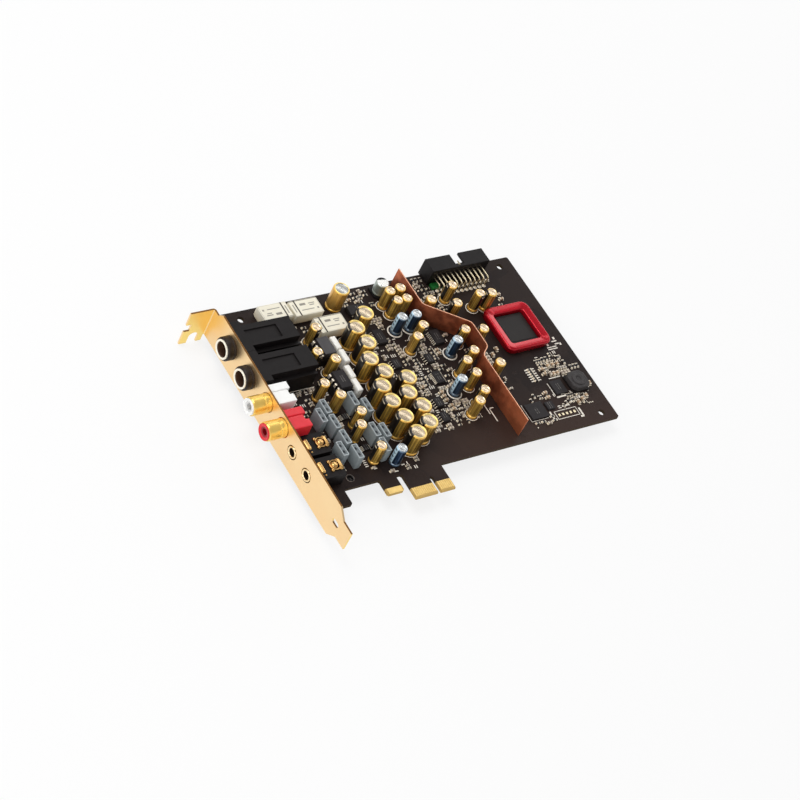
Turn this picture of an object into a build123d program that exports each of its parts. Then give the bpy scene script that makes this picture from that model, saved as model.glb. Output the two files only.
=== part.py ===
from build123d import *
import math
import os

os.makedirs("parts", exist_ok=True)

# Frame: X runs along the card away from the bracket, Y up from the edge connector to the top edge,
# Z out of the component side. The origin is the key notch of the edge connector: X = 0 on the notch,
# Y = 0 on the lower edge of the contact tongues, Z = 0 on the component face of the board.

# Circuit board
BOARD_THICK = 1.57
BOARD_LEFT = -56.6
BOARD_RIGHT = 110.0
BOARD_TOP = 110.7
BOARD_FOOT = 12.85
CORNER_CUT = 0.6
LEG_RIGHT = -42.0
LEG_FOOT = 5.2
HOLE_R = 1.6
HOLE_LEFT, HOLE_LEFT_LOW, HOLE_RIGHT = -40.8, -36.2, 102.6
HOLE_HIGH, HOLE_LOW = 106.1, 17.3

# Edge connector tongues and their gold contacts
CONTACT_PITCH = 1.0
CONTACT_WIDTH = 0.7
CONTACT_LOW, CONTACT_HIGH = 1.0, 5.2
CONTACT_THICK = 0.08
KEY_WIDTH = 1.9
KEY_HIGH = 8.2
LONG_CONTACTS, SHORT_CONTACTS = 11, 7
TONGUE_MARGIN = 0.65
BEVEL = 0.45
SUPPORT_LEFT, SUPPORT_RIGHT = -23.8, -15.5
SUPPORT_PLATING = 2.8

# Bracket: a folded sheet with the screw tab at its top and the chassis tail at its foot
BRACKET_FACE = -57.94
SHEET = 0.86
BEND_R = 0.5
BRACKET_LOW_Z, BRACKET_HIGH_Z = -4.65, 13.75
BRACKET_TOP = 106.87
BRACKET_FOOT = -13.15
TAB_DEPTH = 11.43
TAB_HIGH_Z = 11.0
TAB_LOW_Z = -8.4
TOP_CORNER = 2.75
TAIL_LOW_Z, TAIL_HIGH_Z = -0.5, 9.7
TAIL_SHOULDER = -2.0
TAIL_NECK = -6.8
SCREW_NOTCH_X, SCREW_NOTCH_R, SCREW_NOTCH_Z = -63.4, 2.3, -4.6
END_NOTCH_DEPTH, END_NOTCH_LOW, END_NOTCH_HIGH = 2.6, -0.4, 3.6
TAIL_SLOT_Y, TAIL_SLOT_LENGTH, TAIL_SLOT_WIDTH = -3.6, 4.4, 2.4

# Quarter inch jacks
JACK_Y = (88.8, 72.5)
JACK_Z = 6.35
JACK_BORE_R = 3.3
JACK_BACK = -28.0
JACK_BORE_LENGTH = 31.5
JACK_BASE_WIDTH, JACK_BASE_HIGH = 14.8, 9.0
JACK_TOP_WIDTH, JACK_TOP_HIGH = 11.2, 12.7
JACK_FLANGE_WIDTH, JACK_FLANGE_LENGTH = 16.2, 5.0
JACK_PANEL_BACK, JACK_PANEL_LOW, JACK_PANEL_HIGH, JACK_PANEL_DEPTH = -36.0, -4.0, 2.8, 0.6
BUSHING_R, BUSHING_LENGTH, BUSHING_SEAT = 4.4, 4.6, 3.0
NUT_R, NUT_LENGTH = 5.3, 4.1
THREAD_GAP = 0.06
PANEL_GAP = 0.25
SPRING_THICK, SPRING_HIGH, SPRING_BOW = 0.4, 2.0, 0.7
SPRING_START, SPRING_END = 10.0, 26.0
SPRING_ROOM = 2.0

# Phono sockets
PHONO_Y = (57.15, 43.65)
PHONO_Z = 8.1
PHONO_BACK = -47.5
PHONO_WIDTH, PHONO_HIGH = 10.3, 13.0
PHONO_FRONT = 9.4
NOSE_R, NOSE_PROUD = 3.7, 0.5
SHELL_WALL, SHELL_SEAT = 0.45, 2.0
PIN_BORE_R, PIN_WALL = 1.65, 0.45
PIN_RECESS = 0.9
PHONO_PANEL_GAP = 0.25
PHONO_NOTCH_WIDTH, PHONO_NOTCH_DEPTH = 2.9, 1.7
PHONO_GROOVE = 0.5
PRESS_GAP = 0.02

# Small stereo jacks
MINI_Y = (33.2, 21.1)
MINI_Z = 4.6
MINI_BORE_R = 1.85
MINI_BACK = -41.5
MINI_WIDTH, MINI_HIGH, MINI_REAR_HIGH = 10.4, 7.6, 6.8
MINI_BORE_LENGTH = 14.0
MINI_BARREL_R, MINI_BARREL_PROUD, MINI_BARREL_DEPTH = 2.85, 0.3, 4.0
MINI_PANEL_GAP = 0.4
MINI_CLIP_THICK, MINI_CLIP_WIDTH, MINI_CLIP_HIGH = 0.4, 5.6, 8.0
MINI_CLIP_START, MINI_CLIP_LENGTH = -52.6, 2.2
MINI_SPRING_START, MINI_SPRING_LENGTH, MINI_SPRING_WINDOW = -47.5, 5.8, 2.4

# Signal relays: centres on the board, and the end of the lid that the seam is nearer to
RELAY_PLACES = ((-26.9, 102.9, 1), (-11.2, 102.2, -1), (-4.3, 91.2, -1))
RELAY_LENGTH, RELAY_WIDTH, RELAY_HIGH = 14.5, 8.6, 5.5
RELAY_SEAM, RELAY_SEAM_WIDTH, RELAY_SEAM_DEPTH = 2.7, 0.4, 0.4
RELAY_PINS, RELAY_PIN_PITCH, RELAY_PIN_ROW = 4, 2.54, 7.62

# Electrolytic capacitors: radii, heights, sides of the prisms that stand for the cans, and centres
LARGE_R, LARGE_HIGH, LARGE_SIDES = 4.0, 12.3, 14
LARGE_PLACES = (
    (9.4, 88.2), (0.9, 81.9), (1.7, 73.2), (-2.2, 64.8), (0.9, 57.0), (-4.5, 50.2), (-4.6, 41.8),
    (-3.2, 33.0), (-2.0, 23.8), (9.8, 51.3), (5.5, 44.0), (8.2, 36.0), (6.4, 27.7),
)
SMALL_R, SMALL_HIGH, SMALL_SIDES = 2.5, 11.0, 12
SMALL_PLACES = (
    (29.4, 97.8), (35.5, 98.4), (30.1, 92.2), (35.3, 92.2), (-16.8, 86.9), (-23.2, 74.6), (-16.9, 69.3),
    (-29.0, 58.6), (-24.9, 51.4), (-20.5, 41.2), (-24.2, 34.9), (-21.4, 22.5), (34.6, 76.5), (28.4, 71.3),
    (53.5, 69.6), (51.0, 58.0), (44.4, 53.8), (44.8, 46.5), (43.3, 37.0), (37.6, 32.4), (62.8, 67.8),
    (59.8, 48.6), (46.8, 88.8), (61.9, 94.1), (58.4, 84.2), (73.2, 86.6), (79.3, 85.7),
)
BLUE_HIGH = 10.5
BLUE_PLACES = ((27.4, 83.3), (35.2, 83.3), (46.9, 65.4), (36.5, 45.3), (-12.6, 19.1))
PLAIN_R, PLAIN_HIGH, PLAIN_PLACE = 3.8, 12.3, (5.5, 103.0)
GREY_R, GREY_HIGH, GREY_PLACE = 3.15, 7.7, (31.2, 105.2)
GREY_BASE, GREY_BASE_HIGH, GREY_BASE_CHAMFER = 6.8, 1.1, 1.2
LEAD_SPREAD = 0.5

# Box film capacitors: centres, long side along Y
FILM_LENGTH, FILM_WIDTH, FILM_HIGH = 7.4, 2.8, 7.6
FILM_RIM, FILM_RECESS = 0.5, 0.3
FILM_PLACES = (
    (-37.0, 45.6), (-32.7, 49.4), (-32.7, 41.2), (-32.4, 32.8), (-37.0, 27.6), (-31.0, 24.6),
    (-18.0, 50.0), (-13.6, 45.4), (-17.2, 32.9), (-12.8, 31.4), (-16.9, 24.6),
)
BOX_LEAD_SPREAD = 0.67
WHITE_LENGTH, WHITE_WIDTH, WHITE_HIGH, WHITE_EDGE = 7.0, 2.9, 6.0, 0.35
WHITE_PLACES = ((-8.3, 80.6), (-8.2, 73.2), (-10.2, 64.7), (-10.9, 57.4))

# Socketed amplifiers in eight pin dual in line packages, long side along Y
AMP_PLACES = ((-14.9, 79.1), (-17.2, 60.8))
AMP_LENGTH, AMP_WIDTH, AMP_THICK = 9.6, 6.3, 3.2
AMP_ROW, AMP_LEADS = 7.62, 4
AMP_LEAD_WIDTH, AMP_LEAD_THICK, AMP_LEAD_PITCH = 1.1, 0.3, 2.54
AMP_NOTCH_R = 0.8
SOCKET_LENGTH, SOCKET_WIDTH, SOCKET_HIGH = 10.0, 9.0, 4.2
SOCKET_RAIL = 2.2

# Leaded chips: centre, body along X and Y, thickness, leads a side, lead pitch, leads on the X sides
CHIP_PLACES = (
    (15.5, 98.0, 10.2, 5.3, 1.9, 14, 0.65, False),
    (17.5, 81.5, 5.0, 7.8, 1.8, 8, 0.9, True),
    (17.2, 66.0, 3.9, 4.9, 1.6, 4, 1.27, True),
    (45.0, 75.0, 5.0, 7.8, 1.8, 8, 0.9, True),
    (34.6, 65.0, 3.9, 4.9, 1.6, 4, 1.27, True),
    (33.2, 54.6, 4.4, 6.4, 1.2, 8, 0.75, True),
    (25.2, 42.0, 3.9, 4.9, 1.6, 4, 1.27, True),
    (23.6, 34.2, 3.9, 4.9, 1.6, 4, 1.27, True),
    (-22.0, 46.3, 3.0, 3.0, 1.1, 4, 0.65, True),
    (-21.3, 29.2, 3.0, 3.0, 1.1, 4, 0.65, True),
)
LEAD_WIDTH, LEAD_THICK, LEAD_REACH = 0.4, 0.3, 1.0
CHIP_STAND = 0.1

# Leadless chips: centre, size along X and Y, thickness
FLAT_CHIP_PLACES = (
    (89.0, 35.2, 6.4, 7.4, 0.9),
    (70.0, 26.0, 9.6, 8.4, 1.0),
    (78.4, 27.0, 4.2, 4.2, 0.9),
)

# Processor inside its red cover frame, which slopes down from a narrow rim to the window
CORE_CENTRE = (87.6, 70.2)
CORE_SIZE, CORE_THICK = 16.0, 1.5
COVER_SIZE, COVER_HIGH, COVER_RIM = 24.8, 3.8, 0.9
COVER_WINDOW, COVER_WINDOW_LEVEL = 16.6, 3.1
COVER_CORNER = 3.0

# Copper shield strip standing between the analogue and digital halves
SHIELD_THICK, SHIELD_HIGH = 0.5, 11.0
SHIELD_ROUTE = (
    (40.5, 108.4), (40.5, 87.2), (58.6, 72.2), (58.6, 58.2), (53.6, 54.4), (53.6, 16.6),
)
SHIELD_FOOT_GAP, SHIELD_FOOT_LENGTH = 0.6, 3.0

# Front panel header: a right angle box header opening past the top edge
HEADER_COLUMNS, HEADER_PITCH = 11, 2.54
HEADER_CENTRE = 74.6
HEADER_LENGTH, HEADER_HIGH = 32.8, 9.2
HEADER_BACK, HEADER_MOUTH = 104.2, 112.0
HEADER_WALL, HEADER_BACK_WALL = 1.2, 1.2
HEADER_KEY_WIDTH = 4.8
HEADER_PIN = 0.64
HEADER_ROW_LOW = 3.3
HEADER_LEG_NEAR = 4.15
HEADER_PIN_TIP = 110.0

# Choke, fuse and chip parts
CHOKE_CENTRE, CHOKE_SIZE, CHOKE_HIGH = (99.5, 35.0), 9.6, 3.8
CHOKE_BASE, CHOKE_CORNER = 0.8, 2.0
FUSE_CENTRE, FUSE_LENGTH, FUSE_WIDTH, FUSE_HIGH = (61.7, 102.4), 4.5, 3.2, 1.2
RESISTOR_LENGTH, RESISTOR_WIDTH, RESISTOR_HIGH = 2.0, 0.9, 0.5
CERAMIC_LENGTH, CERAMIC_WIDTH, CERAMIC_HIGH = 2.0, 1.2, 1.1
# Rows of chip parts: first centre, how many, step along X, step along Y, long side along Y
RESISTOR_ROWS = (
    (80.8, 41.4, 6, 0.0, 1.3, False), (91.2, 51.4, 2, 2.0, 0.0, True), (99.2, 50.6, 2, 1.9, -3.0, True),
    (103.0, 44.2, 3, 1.9, 0.0, True), (90.2, 27.2, 2, 2.1, 0.0, True), (71.4, 31.8, 2, 2.6, 2.0, True),
    (76.4, 19.4, 2, 0.0, 2.2, False), (67.0, 20.0, 2, 3.4, 0.0, False), (23.0, 65.0, 2, 0.0, 1.8, False),
    (28.2, 62.6, 3, 0.0, 1.8, False), (38.9, 64.6, 2, 0.0, 3.4, False), (37.6, 58.6, 2, 2.4, 1.8, False),
    (38.6, 51.8, 2, 0.0, 3.0, False), (26.2, 52.4, 3, 0.0, 1.9, False), (30.0, 31.2, 2, 0.0, 2.8, False),
    (10.4, 76.2, 2, 0.0, 1.6, False), (-21.0, 84.2, 2, 0.0, 3.8, False),
    (-14.6, 93.0, 2, 0.0, 2.2, False), (-33.4, 58.8, 2, 0.0, 5.0, False), (-38.8, 51.2, 2, 2.1, 1.9, False),
    (-37.6, 40.4, 2, 1.7, 0.0, True), (18.8, 105.2, 2, 0.0, 2.4, False), (24.6, 105.6, 2, 0.0, 2.2, False),
    (52.6, 108.0, 3, 2.2, 0.0, True), (55.2, 99.8, 3, 0.0, 2.3, False),
)
CERAMIC_ROWS = (
    (91.4, 47.4, 3, 2.7, 0.0, True), (86.8, 43.6, 2, 0.0, 2.8, False), (91.6, 42.6, 2, 2.2, 0.0, True),
    (106.4, 33.4, 1, 0.0, 0.0, True), (94.4, 25.2, 3, 3.0, 1.2, True), (80.4, 31.4, 2, 0.0, 2.6, False),
    (22.8, 51.6, 1, 0.0, 0.0, False), (30.2, 42.6, 3, 0.0, 2.2, False), (30.9, 37.4, 2, 0.0, 2.0, False),
    (41.4, 68.8, 2, 0.0, -2.0, False), (12.2, 79.4, 2, 0.0, 2.2, False), (17.0, 56.6, 2, 0.0, -2.0, False),
    (91.2, 88.0, 2, 0.0, 2.8, False), (67.6, 59.8, 2, 3.6, 2.4, True),
    (14.6, 104.4, 1, 0.0, 0.0, False),
)

# Solder joints under the leads
JOINT_WIDTH, JOINT_HIGH = 1.6, 0.8

# Sides of the prisms that stand for small holes and for sleeves hidden in other pieces
HIDDEN_SIDES = 12


def block(x, y, z):
    """Box between a low and a high bound along each axis."""
    size = [high - low for low, high in (x, y, z)]
    return Pos(x[0], y[0], z[0]) * Box(*size, align=(Align.MIN, Align.MIN, Align.MIN))


def post(x, y, width, length, z):
    """Box standing on a centre point of the board."""
    return block((x - width / 2, x + width / 2), (y - length / 2, y + length / 2), z)


def field(x, y):
    """Flat rectangle between two bounds."""
    corner = Rectangle(x[1] - x[0], y[1] - y[0], align=(Align.MIN, Align.MIN))
    return Pos(x[0], y[0]) * corner


def rod(y, z, radius, x):
    """Cylinder along X."""
    along = Cylinder(radius, x[1] - x[0], align=(Align.CENTER, Align.CENTER, Align.MIN))
    return Pos(x[0], y, z) * Rot(0, 90, 0) * along


def drum(y, z, radius, x):
    """Prism along X that stands for a round piece where another piece hides it."""
    return Pos(x[0], y, z) * Rot(0, 90, 0) * extrude(RegularPolygon(radius, HIDDEN_SIDES), x[1] - x[0])


def row(count, pitch):
    """Offsets of a row of evenly spaced places about its middle."""
    return [(i - (count - 1) / 2) * pitch for i in range(count)]


def save(name, *solids):
    """One STEP file, a single solid or a group of them."""
    shape = solids[0] if len(solids) == 1 else Compound(children=list(solids))
    shape.label = name
    export_step(shape, f"parts/{name}.step")


INNER_FACE = BRACKET_FACE + SHEET
LONG_END = -(KEY_WIDTH / 2 + TONGUE_MARGIN + (LONG_CONTACTS - 1) * CONTACT_PITCH + TONGUE_MARGIN)
SHORT_END = KEY_WIDTH / 2 + TONGUE_MARGIN + (SHORT_CONTACTS - 1) * CONTACT_PITCH + TONGUE_MARGIN
BOARD_BACK = -BOARD_THICK
HOLE_PLACES = (
    (HOLE_LEFT, HOLE_HIGH), (HOLE_RIGHT, HOLE_HIGH), (HOLE_LEFT_LOW, HOLE_LOW), (HOLE_RIGHT, HOLE_LOW),
)


def circuit_board():
    """Routed outline with the leg beside the bracket, the support tongue and the keyed contact tongues."""
    outline = field((BOARD_LEFT, BOARD_RIGHT), (BOARD_FOOT, BOARD_TOP))
    outline += field((BOARD_LEFT, LEG_RIGHT), (LEG_FOOT, BOARD_FOOT))
    outline += field((SUPPORT_LEFT, SUPPORT_RIGHT), (LEG_FOOT, BOARD_FOOT))
    outline += field((LONG_END, SHORT_END), (0, BOARD_FOOT))
    outline -= field((-KEY_WIDTH / 2, KEY_WIDTH / 2), (0, KEY_HIGH))
    routed = outline.vertices().filter_by_position(Axis.Y, BEVEL, BOARD_TOP + BEVEL)
    outline = chamfer(routed, CORNER_CUT)
    board = Pos(0, 0, BOARD_BACK) * extrude(outline, BOARD_THICK)
    lower_edges = board.edges().filter_by(Axis.X).filter_by_position(Axis.Y, -BEVEL, BEVEL)
    board = chamfer(lower_edges, BEVEL)
    for x, y in HOLE_PLACES:
        board -= Pos(x, y, BOARD_BACK) * extrude(RegularPolygon(HOLE_R, HIDDEN_SIDES), BOARD_THICK)
    return board


def edge_contacts():
    """Plated fingers on both faces, and the plating on both faces of the support tongue."""
    first = KEY_WIDTH / 2 + TONGUE_MARGIN
    places = [first + i * CONTACT_PITCH for i in range(SHORT_CONTACTS)]
    places += [-first - i * CONTACT_PITCH for i in range(LONG_CONTACTS)]
    faces = ((0, CONTACT_THICK), (BOARD_BACK - CONTACT_THICK, BOARD_BACK))
    fingers = []
    for z in faces:
        for x in places:
            sides = (x - CONTACT_WIDTH / 2, x + CONTACT_WIDTH / 2)
            fingers.append(block(sides, (CONTACT_LOW, CONTACT_HIGH), z))
        plating = (SUPPORT_LEFT + CORNER_CUT, SUPPORT_RIGHT - CORNER_CUT)
        fingers.append(block(plating, (LEG_FOOT, LEG_FOOT + SUPPORT_PLATING), z))
    return fingers


def bracket():
    """Plate, quarter bend and screw tab of one folded sheet, pierced for the sockets."""
    bend_x = BRACKET_FACE - BEND_R
    bend_y = BRACKET_TOP - SHEET - BEND_R
    tab_end = BRACKET_FACE - TAB_DEPTH
    plate_outline = Polyline(
        (bend_y, BRACKET_LOW_Z), (bend_y, TAB_HIGH_Z), (bend_y - TOP_CORNER, TAB_HIGH_Z),
        (bend_y - 2 * TOP_CORNER, BRACKET_HIGH_Z), (TAIL_SHOULDER, BRACKET_HIGH_Z),
        (TAIL_NECK, TAIL_HIGH_Z), (BRACKET_FOOT, TAIL_HIGH_Z), (BRACKET_FOOT, TAIL_LOW_Z),
        (TAIL_NECK, TAIL_LOW_Z), (TAIL_SHOULDER, BRACKET_LOW_Z), close=True,
    )
    plate = Plane.YZ * make_face(plate_outline)
    sheet = Pos(BRACKET_FACE, 0, 0) * extrude(plate, SHEET, dir=(1, 0, 0))
    tail_z = (TAIL_LOW_Z + TAIL_HIGH_Z) / 2
    slot = Plane.YZ * Pos(TAIL_SLOT_Y, tail_z) * SlotOverall(TAIL_SLOT_LENGTH, TAIL_SLOT_WIDTH)
    sheet -= Pos(BRACKET_FACE - SHEET, 0, 0) * extrude(slot, 3 * SHEET, dir=(1, 0, 0))
    through = (BRACKET_FACE - SHEET, INNER_FACE + SHEET)
    for y in JACK_Y:
        sheet -= drum(y, JACK_Z, BUSHING_R + PANEL_GAP, through)
    for y in PHONO_Y:
        sheet -= rod(y, PHONO_Z, NOSE_R + SHELL_WALL + PHONO_PANEL_GAP, through)
    for y in MINI_Y:
        sheet -= drum(y, MINI_Z, MINI_BARREL_R + MINI_PANEL_GAP, through)

    ring = Circle(BEND_R + SHEET) - Circle(BEND_R)
    corner = BEND_R + 2 * SHEET
    bend_profile = Pos(bend_x, bend_y) * (ring & field((0, corner), (0, corner)))
    bend = Pos(0, 0, BRACKET_LOW_Z) * extrude(bend_profile, TAB_HIGH_Z - BRACKET_LOW_Z)

    tab_outline = field((tab_end, bend_x), (TAB_LOW_Z, TAB_HIGH_Z))
    tab_outline -= field((tab_end, tab_end + END_NOTCH_DEPTH), (END_NOTCH_LOW, END_NOTCH_HIGH))
    tab_outline -= Pos(SCREW_NOTCH_X, SCREW_NOTCH_Z) * Circle(SCREW_NOTCH_R)
    notch_sides = (SCREW_NOTCH_X - SCREW_NOTCH_R, SCREW_NOTCH_X + SCREW_NOTCH_R)
    tab_outline -= field(notch_sides, (TAB_LOW_Z, SCREW_NOTCH_Z))
    tab = Pos(0, BRACKET_TOP, 0) * extrude(Plane.XZ * tab_outline, SHEET, dir=(0, -1, 0))
    return sheet + bend + tab


JACK_MOUTH = BRACKET_FACE - BUSHING_LENGTH
SPRING_ENDS = (INNER_FACE + SPRING_START, INNER_FACE + SPRING_END)
SPRING_LEVELS = (JACK_Z - SPRING_HIGH / 2, JACK_Z + SPRING_HIGH / 2)


def jack_housing(y):
    """Flanged moulding behind the bracket, a panel sunk in its top, bored for the plug and its springs."""
    inside = (INNER_FACE, JACK_BACK)
    half_base, half_top = JACK_BASE_WIDTH / 2, JACK_TOP_WIDTH / 2
    body = block(inside, (y - half_base, y + half_base), (0, JACK_BASE_HIGH))
    body += block(inside, (y - half_top, y + half_top), (JACK_BASE_HIGH, JACK_TOP_HIGH))
    flange_end = INNER_FACE + JACK_FLANGE_LENGTH
    flange = (y - JACK_FLANGE_WIDTH / 2, y + JACK_FLANGE_WIDTH / 2)
    body += block((INNER_FACE, flange_end), flange, (0, JACK_TOP_HIGH))
    panel = (y + JACK_PANEL_LOW, y + JACK_PANEL_HIGH)
    body -= block((flange_end, JACK_PANEL_BACK), panel, (JACK_TOP_HIGH - JACK_PANEL_DEPTH, JACK_TOP_HIGH))
    body -= drum(y, JACK_Z, BUSHING_R + PRESS_GAP, (INNER_FACE, INNER_FACE + BUSHING_SEAT))
    body -= rod(y, JACK_Z, JACK_BORE_R, (INNER_FACE, JACK_MOUTH + JACK_BORE_LENGTH))
    room = JACK_BORE_R + SPRING_ROOM
    return body - block(SPRING_ENDS, (y - room, y + room), SPRING_LEVELS)


def jack_contacts(y):
    """Tip and ring springs: bowed leaves that fill the ends of their slot beside the bore."""
    start, end = SPRING_ENDS
    middle = (start + end) / 2
    outer = JACK_BORE_R + SPRING_ROOM
    leaf = make_face(Polyline(
        (start, outer), (middle, outer - SPRING_BOW), (end, outer), (end, outer - SPRING_THICK),
        (middle, outer - SPRING_BOW - SPRING_THICK), (start, outer - SPRING_THICK), close=True,
    ))
    spring = Pos(0, 0, SPRING_LEVELS[0]) * extrude(leaf, SPRING_HIGH, dir=(0, 0, 1))
    return [Pos(0, y, 0) * spring, Pos(0, y, 0) * mirror(spring, Plane.XZ)]


def jack_bushing(y):
    """Threaded bushing pressed into the moulding, its bright end round the way in for the plug."""
    ends = (JACK_MOUTH, INNER_FACE + BUSHING_SEAT)
    return drum(y, JACK_Z, BUSHING_R, ends) - rod(y, JACK_Z, JACK_BORE_R, ends)


def jack_nut(y):
    """Round black nut drawn up against the bracket on the bushing."""
    ends = (BRACKET_FACE - NUT_LENGTH, BRACKET_FACE)
    return rod(y, JACK_Z, NUT_R, ends) - drum(y, JACK_Z, BUSHING_R + THREAD_GAP, ends)


PHONO_MOUTH = BRACKET_FACE - PHONO_FRONT
PIN_R = PIN_BORE_R + PIN_WALL
SHELL_R = NOSE_R + SHELL_WALL


def phono_housing(y):
    """Coloured moulding: a block notched at the back, and the nose that insulates the centre contact."""
    half = PHONO_WIDTH / 2
    body = block((INNER_FACE, PHONO_BACK), (y - half, y + half), (0, PHONO_HIGH))
    notch = (y - PHONO_NOTCH_WIDTH / 2, y + PHONO_NOTCH_WIDTH / 2)
    body -= block((PHONO_BACK - PHONO_NOTCH_DEPTH, PHONO_BACK), notch, (0, PHONO_HIGH))
    groove = (notch[1] - PHONO_GROOVE, notch[1])
    body -= block((INNER_FACE, PHONO_BACK), groove, (PHONO_HIGH - PHONO_GROOVE, PHONO_HIGH))
    body -= rod(y, PHONO_Z, SHELL_R + PRESS_GAP, (INNER_FACE, INNER_FACE + SHELL_SEAT))
    body += drum(y, PHONO_Z, NOSE_R, (PHONO_MOUTH, INNER_FACE + SHELL_SEAT))
    return body - drum(y, PHONO_Z, PIN_R + PRESS_GAP, (PHONO_MOUTH, PHONO_BACK - PHONO_NOTCH_DEPTH))


def phono_shell(y):
    """Plated shell pressed over the nose and into the block."""
    ends = (PHONO_MOUTH + NOSE_PROUD, INNER_FACE + SHELL_SEAT)
    return rod(y, PHONO_Z, SHELL_R, ends) - drum(y, PHONO_Z, NOSE_R + PRESS_GAP, ends)


def phono_contact(y):
    """Plated socket for the plug's centre pin."""
    ends = (PHONO_MOUTH + PIN_RECESS, PHONO_BACK - PHONO_NOTCH_DEPTH)
    return drum(y, PHONO_Z, PIN_R, ends) - rod(y, PHONO_Z, PIN_BORE_R, ends)


MINI_MOUTH = BRACKET_FACE - MINI_BARREL_PROUD


def mini_housing(y):
    """Black block behind the bracket, lower under its springs, bored for the barrel and the plug."""
    sides = (y - MINI_WIDTH / 2, y + MINI_WIDTH / 2)
    body = block((INNER_FACE, MINI_BACK), sides, (0, MINI_REAR_HIGH))
    body += block((INNER_FACE, INNER_FACE + MINI_BARREL_DEPTH), sides, (0, MINI_HIGH))
    body -= drum(y, MINI_Z, MINI_BARREL_R + PRESS_GAP, (INNER_FACE, INNER_FACE + MINI_BARREL_DEPTH))
    return body - rod(y, MINI_Z, MINI_BORE_R, (INNER_FACE, MINI_MOUTH + MINI_BORE_LENGTH))


def mini_barrel(y):
    """Plated barrel that stands proud of the bracket round the plug's way in."""
    ends = (MINI_MOUTH, INNER_FACE + MINI_BARREL_DEPTH)
    return drum(y, MINI_Z, MINI_BARREL_R, ends) - rod(y, MINI_Z, MINI_BORE_R, ends)


def mini_contacts(y):
    """Plated clip and spring bridging the lower part of the block, a window in the spring's top."""
    half, sheet = MINI_CLIP_WIDTH / 2, MINI_CLIP_THICK
    bridges = []
    for start, length in ((MINI_CLIP_START, MINI_CLIP_LENGTH), (MINI_SPRING_START, MINI_SPRING_LENGTH)):
        along = (start, start + length)
        bridge = block(along, (y - half, y + half), (MINI_REAR_HIGH, MINI_CLIP_HIGH))
        inside = (y - half + sheet, y + half - sheet)
        bridges.append(bridge - block(along, inside, (MINI_REAR_HIGH, MINI_CLIP_HIGH - sheet)))
    middle = MINI_SPRING_START + MINI_SPRING_LENGTH / 2
    bridges[1] -= post(middle, y, MINI_SPRING_WINDOW, MINI_SPRING_WINDOW, (MINI_REAR_HIGH, MINI_CLIP_HIGH))
    return bridges


def relay(x, y, end):
    """Sealed cover on the board with a broken lid edge and the moulded seam across the lid."""
    body = post(x, y, RELAY_LENGTH, RELAY_WIDTH, (0, RELAY_HIGH))
    lid = body.faces().sort_by(Axis.Z)[-1].edges()
    body = chamfer(lid, RELAY_SEAM_DEPTH / 2)
    seam = x + end * (RELAY_LENGTH / 2 - RELAY_SEAM)
    return body - post(seam, y, RELAY_SEAM_WIDTH, RELAY_WIDTH, (RELAY_HIGH - RELAY_SEAM_DEPTH, RELAY_HIGH))


def can(place, radius, high, sides):
    """Sealed can seated on the board."""
    return Pos(*place, 0) * extrude(RegularPolygon(radius, sides), high)


def surface_can():
    """Bare can on the square moulded base that is soldered to the board, two corners cut."""
    x, y = GREY_PLACE
    base = post(x, y, GREY_BASE, GREY_BASE, (0, GREY_BASE_HIGH))
    front_corners = base.edges().filter_by(Axis.Z).group_by(Axis.Y)[0]
    base = chamfer(front_corners, GREY_BASE_CHAMFER)
    body = extrude(RegularPolygon(GREY_R, LARGE_SIDES), GREY_HIGH - GREY_BASE_HIGH)
    return base, Pos(x, y, GREY_BASE_HIGH) * body


def film_box(x, y):
    """Potted box capacitor with the raised rim of its case round the top."""
    box = post(x, y, FILM_WIDTH, FILM_LENGTH, (0, FILM_HIGH))
    pocket = (FILM_WIDTH - 2 * FILM_RIM, FILM_LENGTH - 2 * FILM_RIM)
    return box - post(x, y, *pocket, (FILM_HIGH - FILM_RECESS, FILM_HIGH))


def white_box(x, y):
    """Plain moulded capacitor with softened long edges."""
    box = post(x, y, WHITE_WIDTH, WHITE_LENGTH, (0, WHITE_HIGH))
    return chamfer(box.faces().sort_by(Axis.Z)[-1].edges(), WHITE_EDGE)


def amp_socket(x, y):
    """Two rails of contacts joined by bars at both ends."""
    frame = post(x, y, SOCKET_WIDTH, SOCKET_LENGTH, (0, SOCKET_HIGH))
    return frame - post(x, y, SOCKET_WIDTH - 2 * SOCKET_RAIL, SOCKET_LENGTH - SOCKET_RAIL, (0, SOCKET_HIGH))


def amp(x, y):
    """Moulded package with the index notch in one end."""
    body = post(x, y, AMP_WIDTH, AMP_LENGTH, (SOCKET_HIGH, SOCKET_HIGH + AMP_THICK))
    mark = Pos(x, y + AMP_LENGTH / 2, SOCKET_HIGH + AMP_THICK) * Cylinder(AMP_NOTCH_R, AMP_THICK / 2)
    return body - mark


def side_leads(half, reach, level, foot, thick, width, count, pitch):
    """Leads from two opposite sides of a package, sloping down and out to their feet."""
    end = half + reach
    slope = Polyline((half, level), (end, foot), (end, foot + thick), (half, level + thick), close=True)
    lead = extrude(Plane.XZ * make_face(slope), width / 2, both=True)
    return [Rot(0, 0, turn) * Pos(0, offset, 0) * lead for turn in (0, 180) for offset in row(count, pitch)]


def amp_leads(x, y):
    """Leads from the sides of the package down onto the socket."""
    reach = (AMP_ROW - AMP_WIDTH + AMP_LEAD_THICK) / 2
    leads = side_leads(AMP_WIDTH / 2, reach, SOCKET_HIGH + AMP_THICK / 2, SOCKET_HIGH, AMP_LEAD_THICK,
                       AMP_LEAD_WIDTH, AMP_LEADS, AMP_LEAD_PITCH)
    return [Pos(x, y, 0) * lead for lead in leads]


def chip(x, y, width, length, thick):
    """Moulded package just clear of the board."""
    return post(x, y, width, length, (CHIP_STAND, thick))


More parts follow.
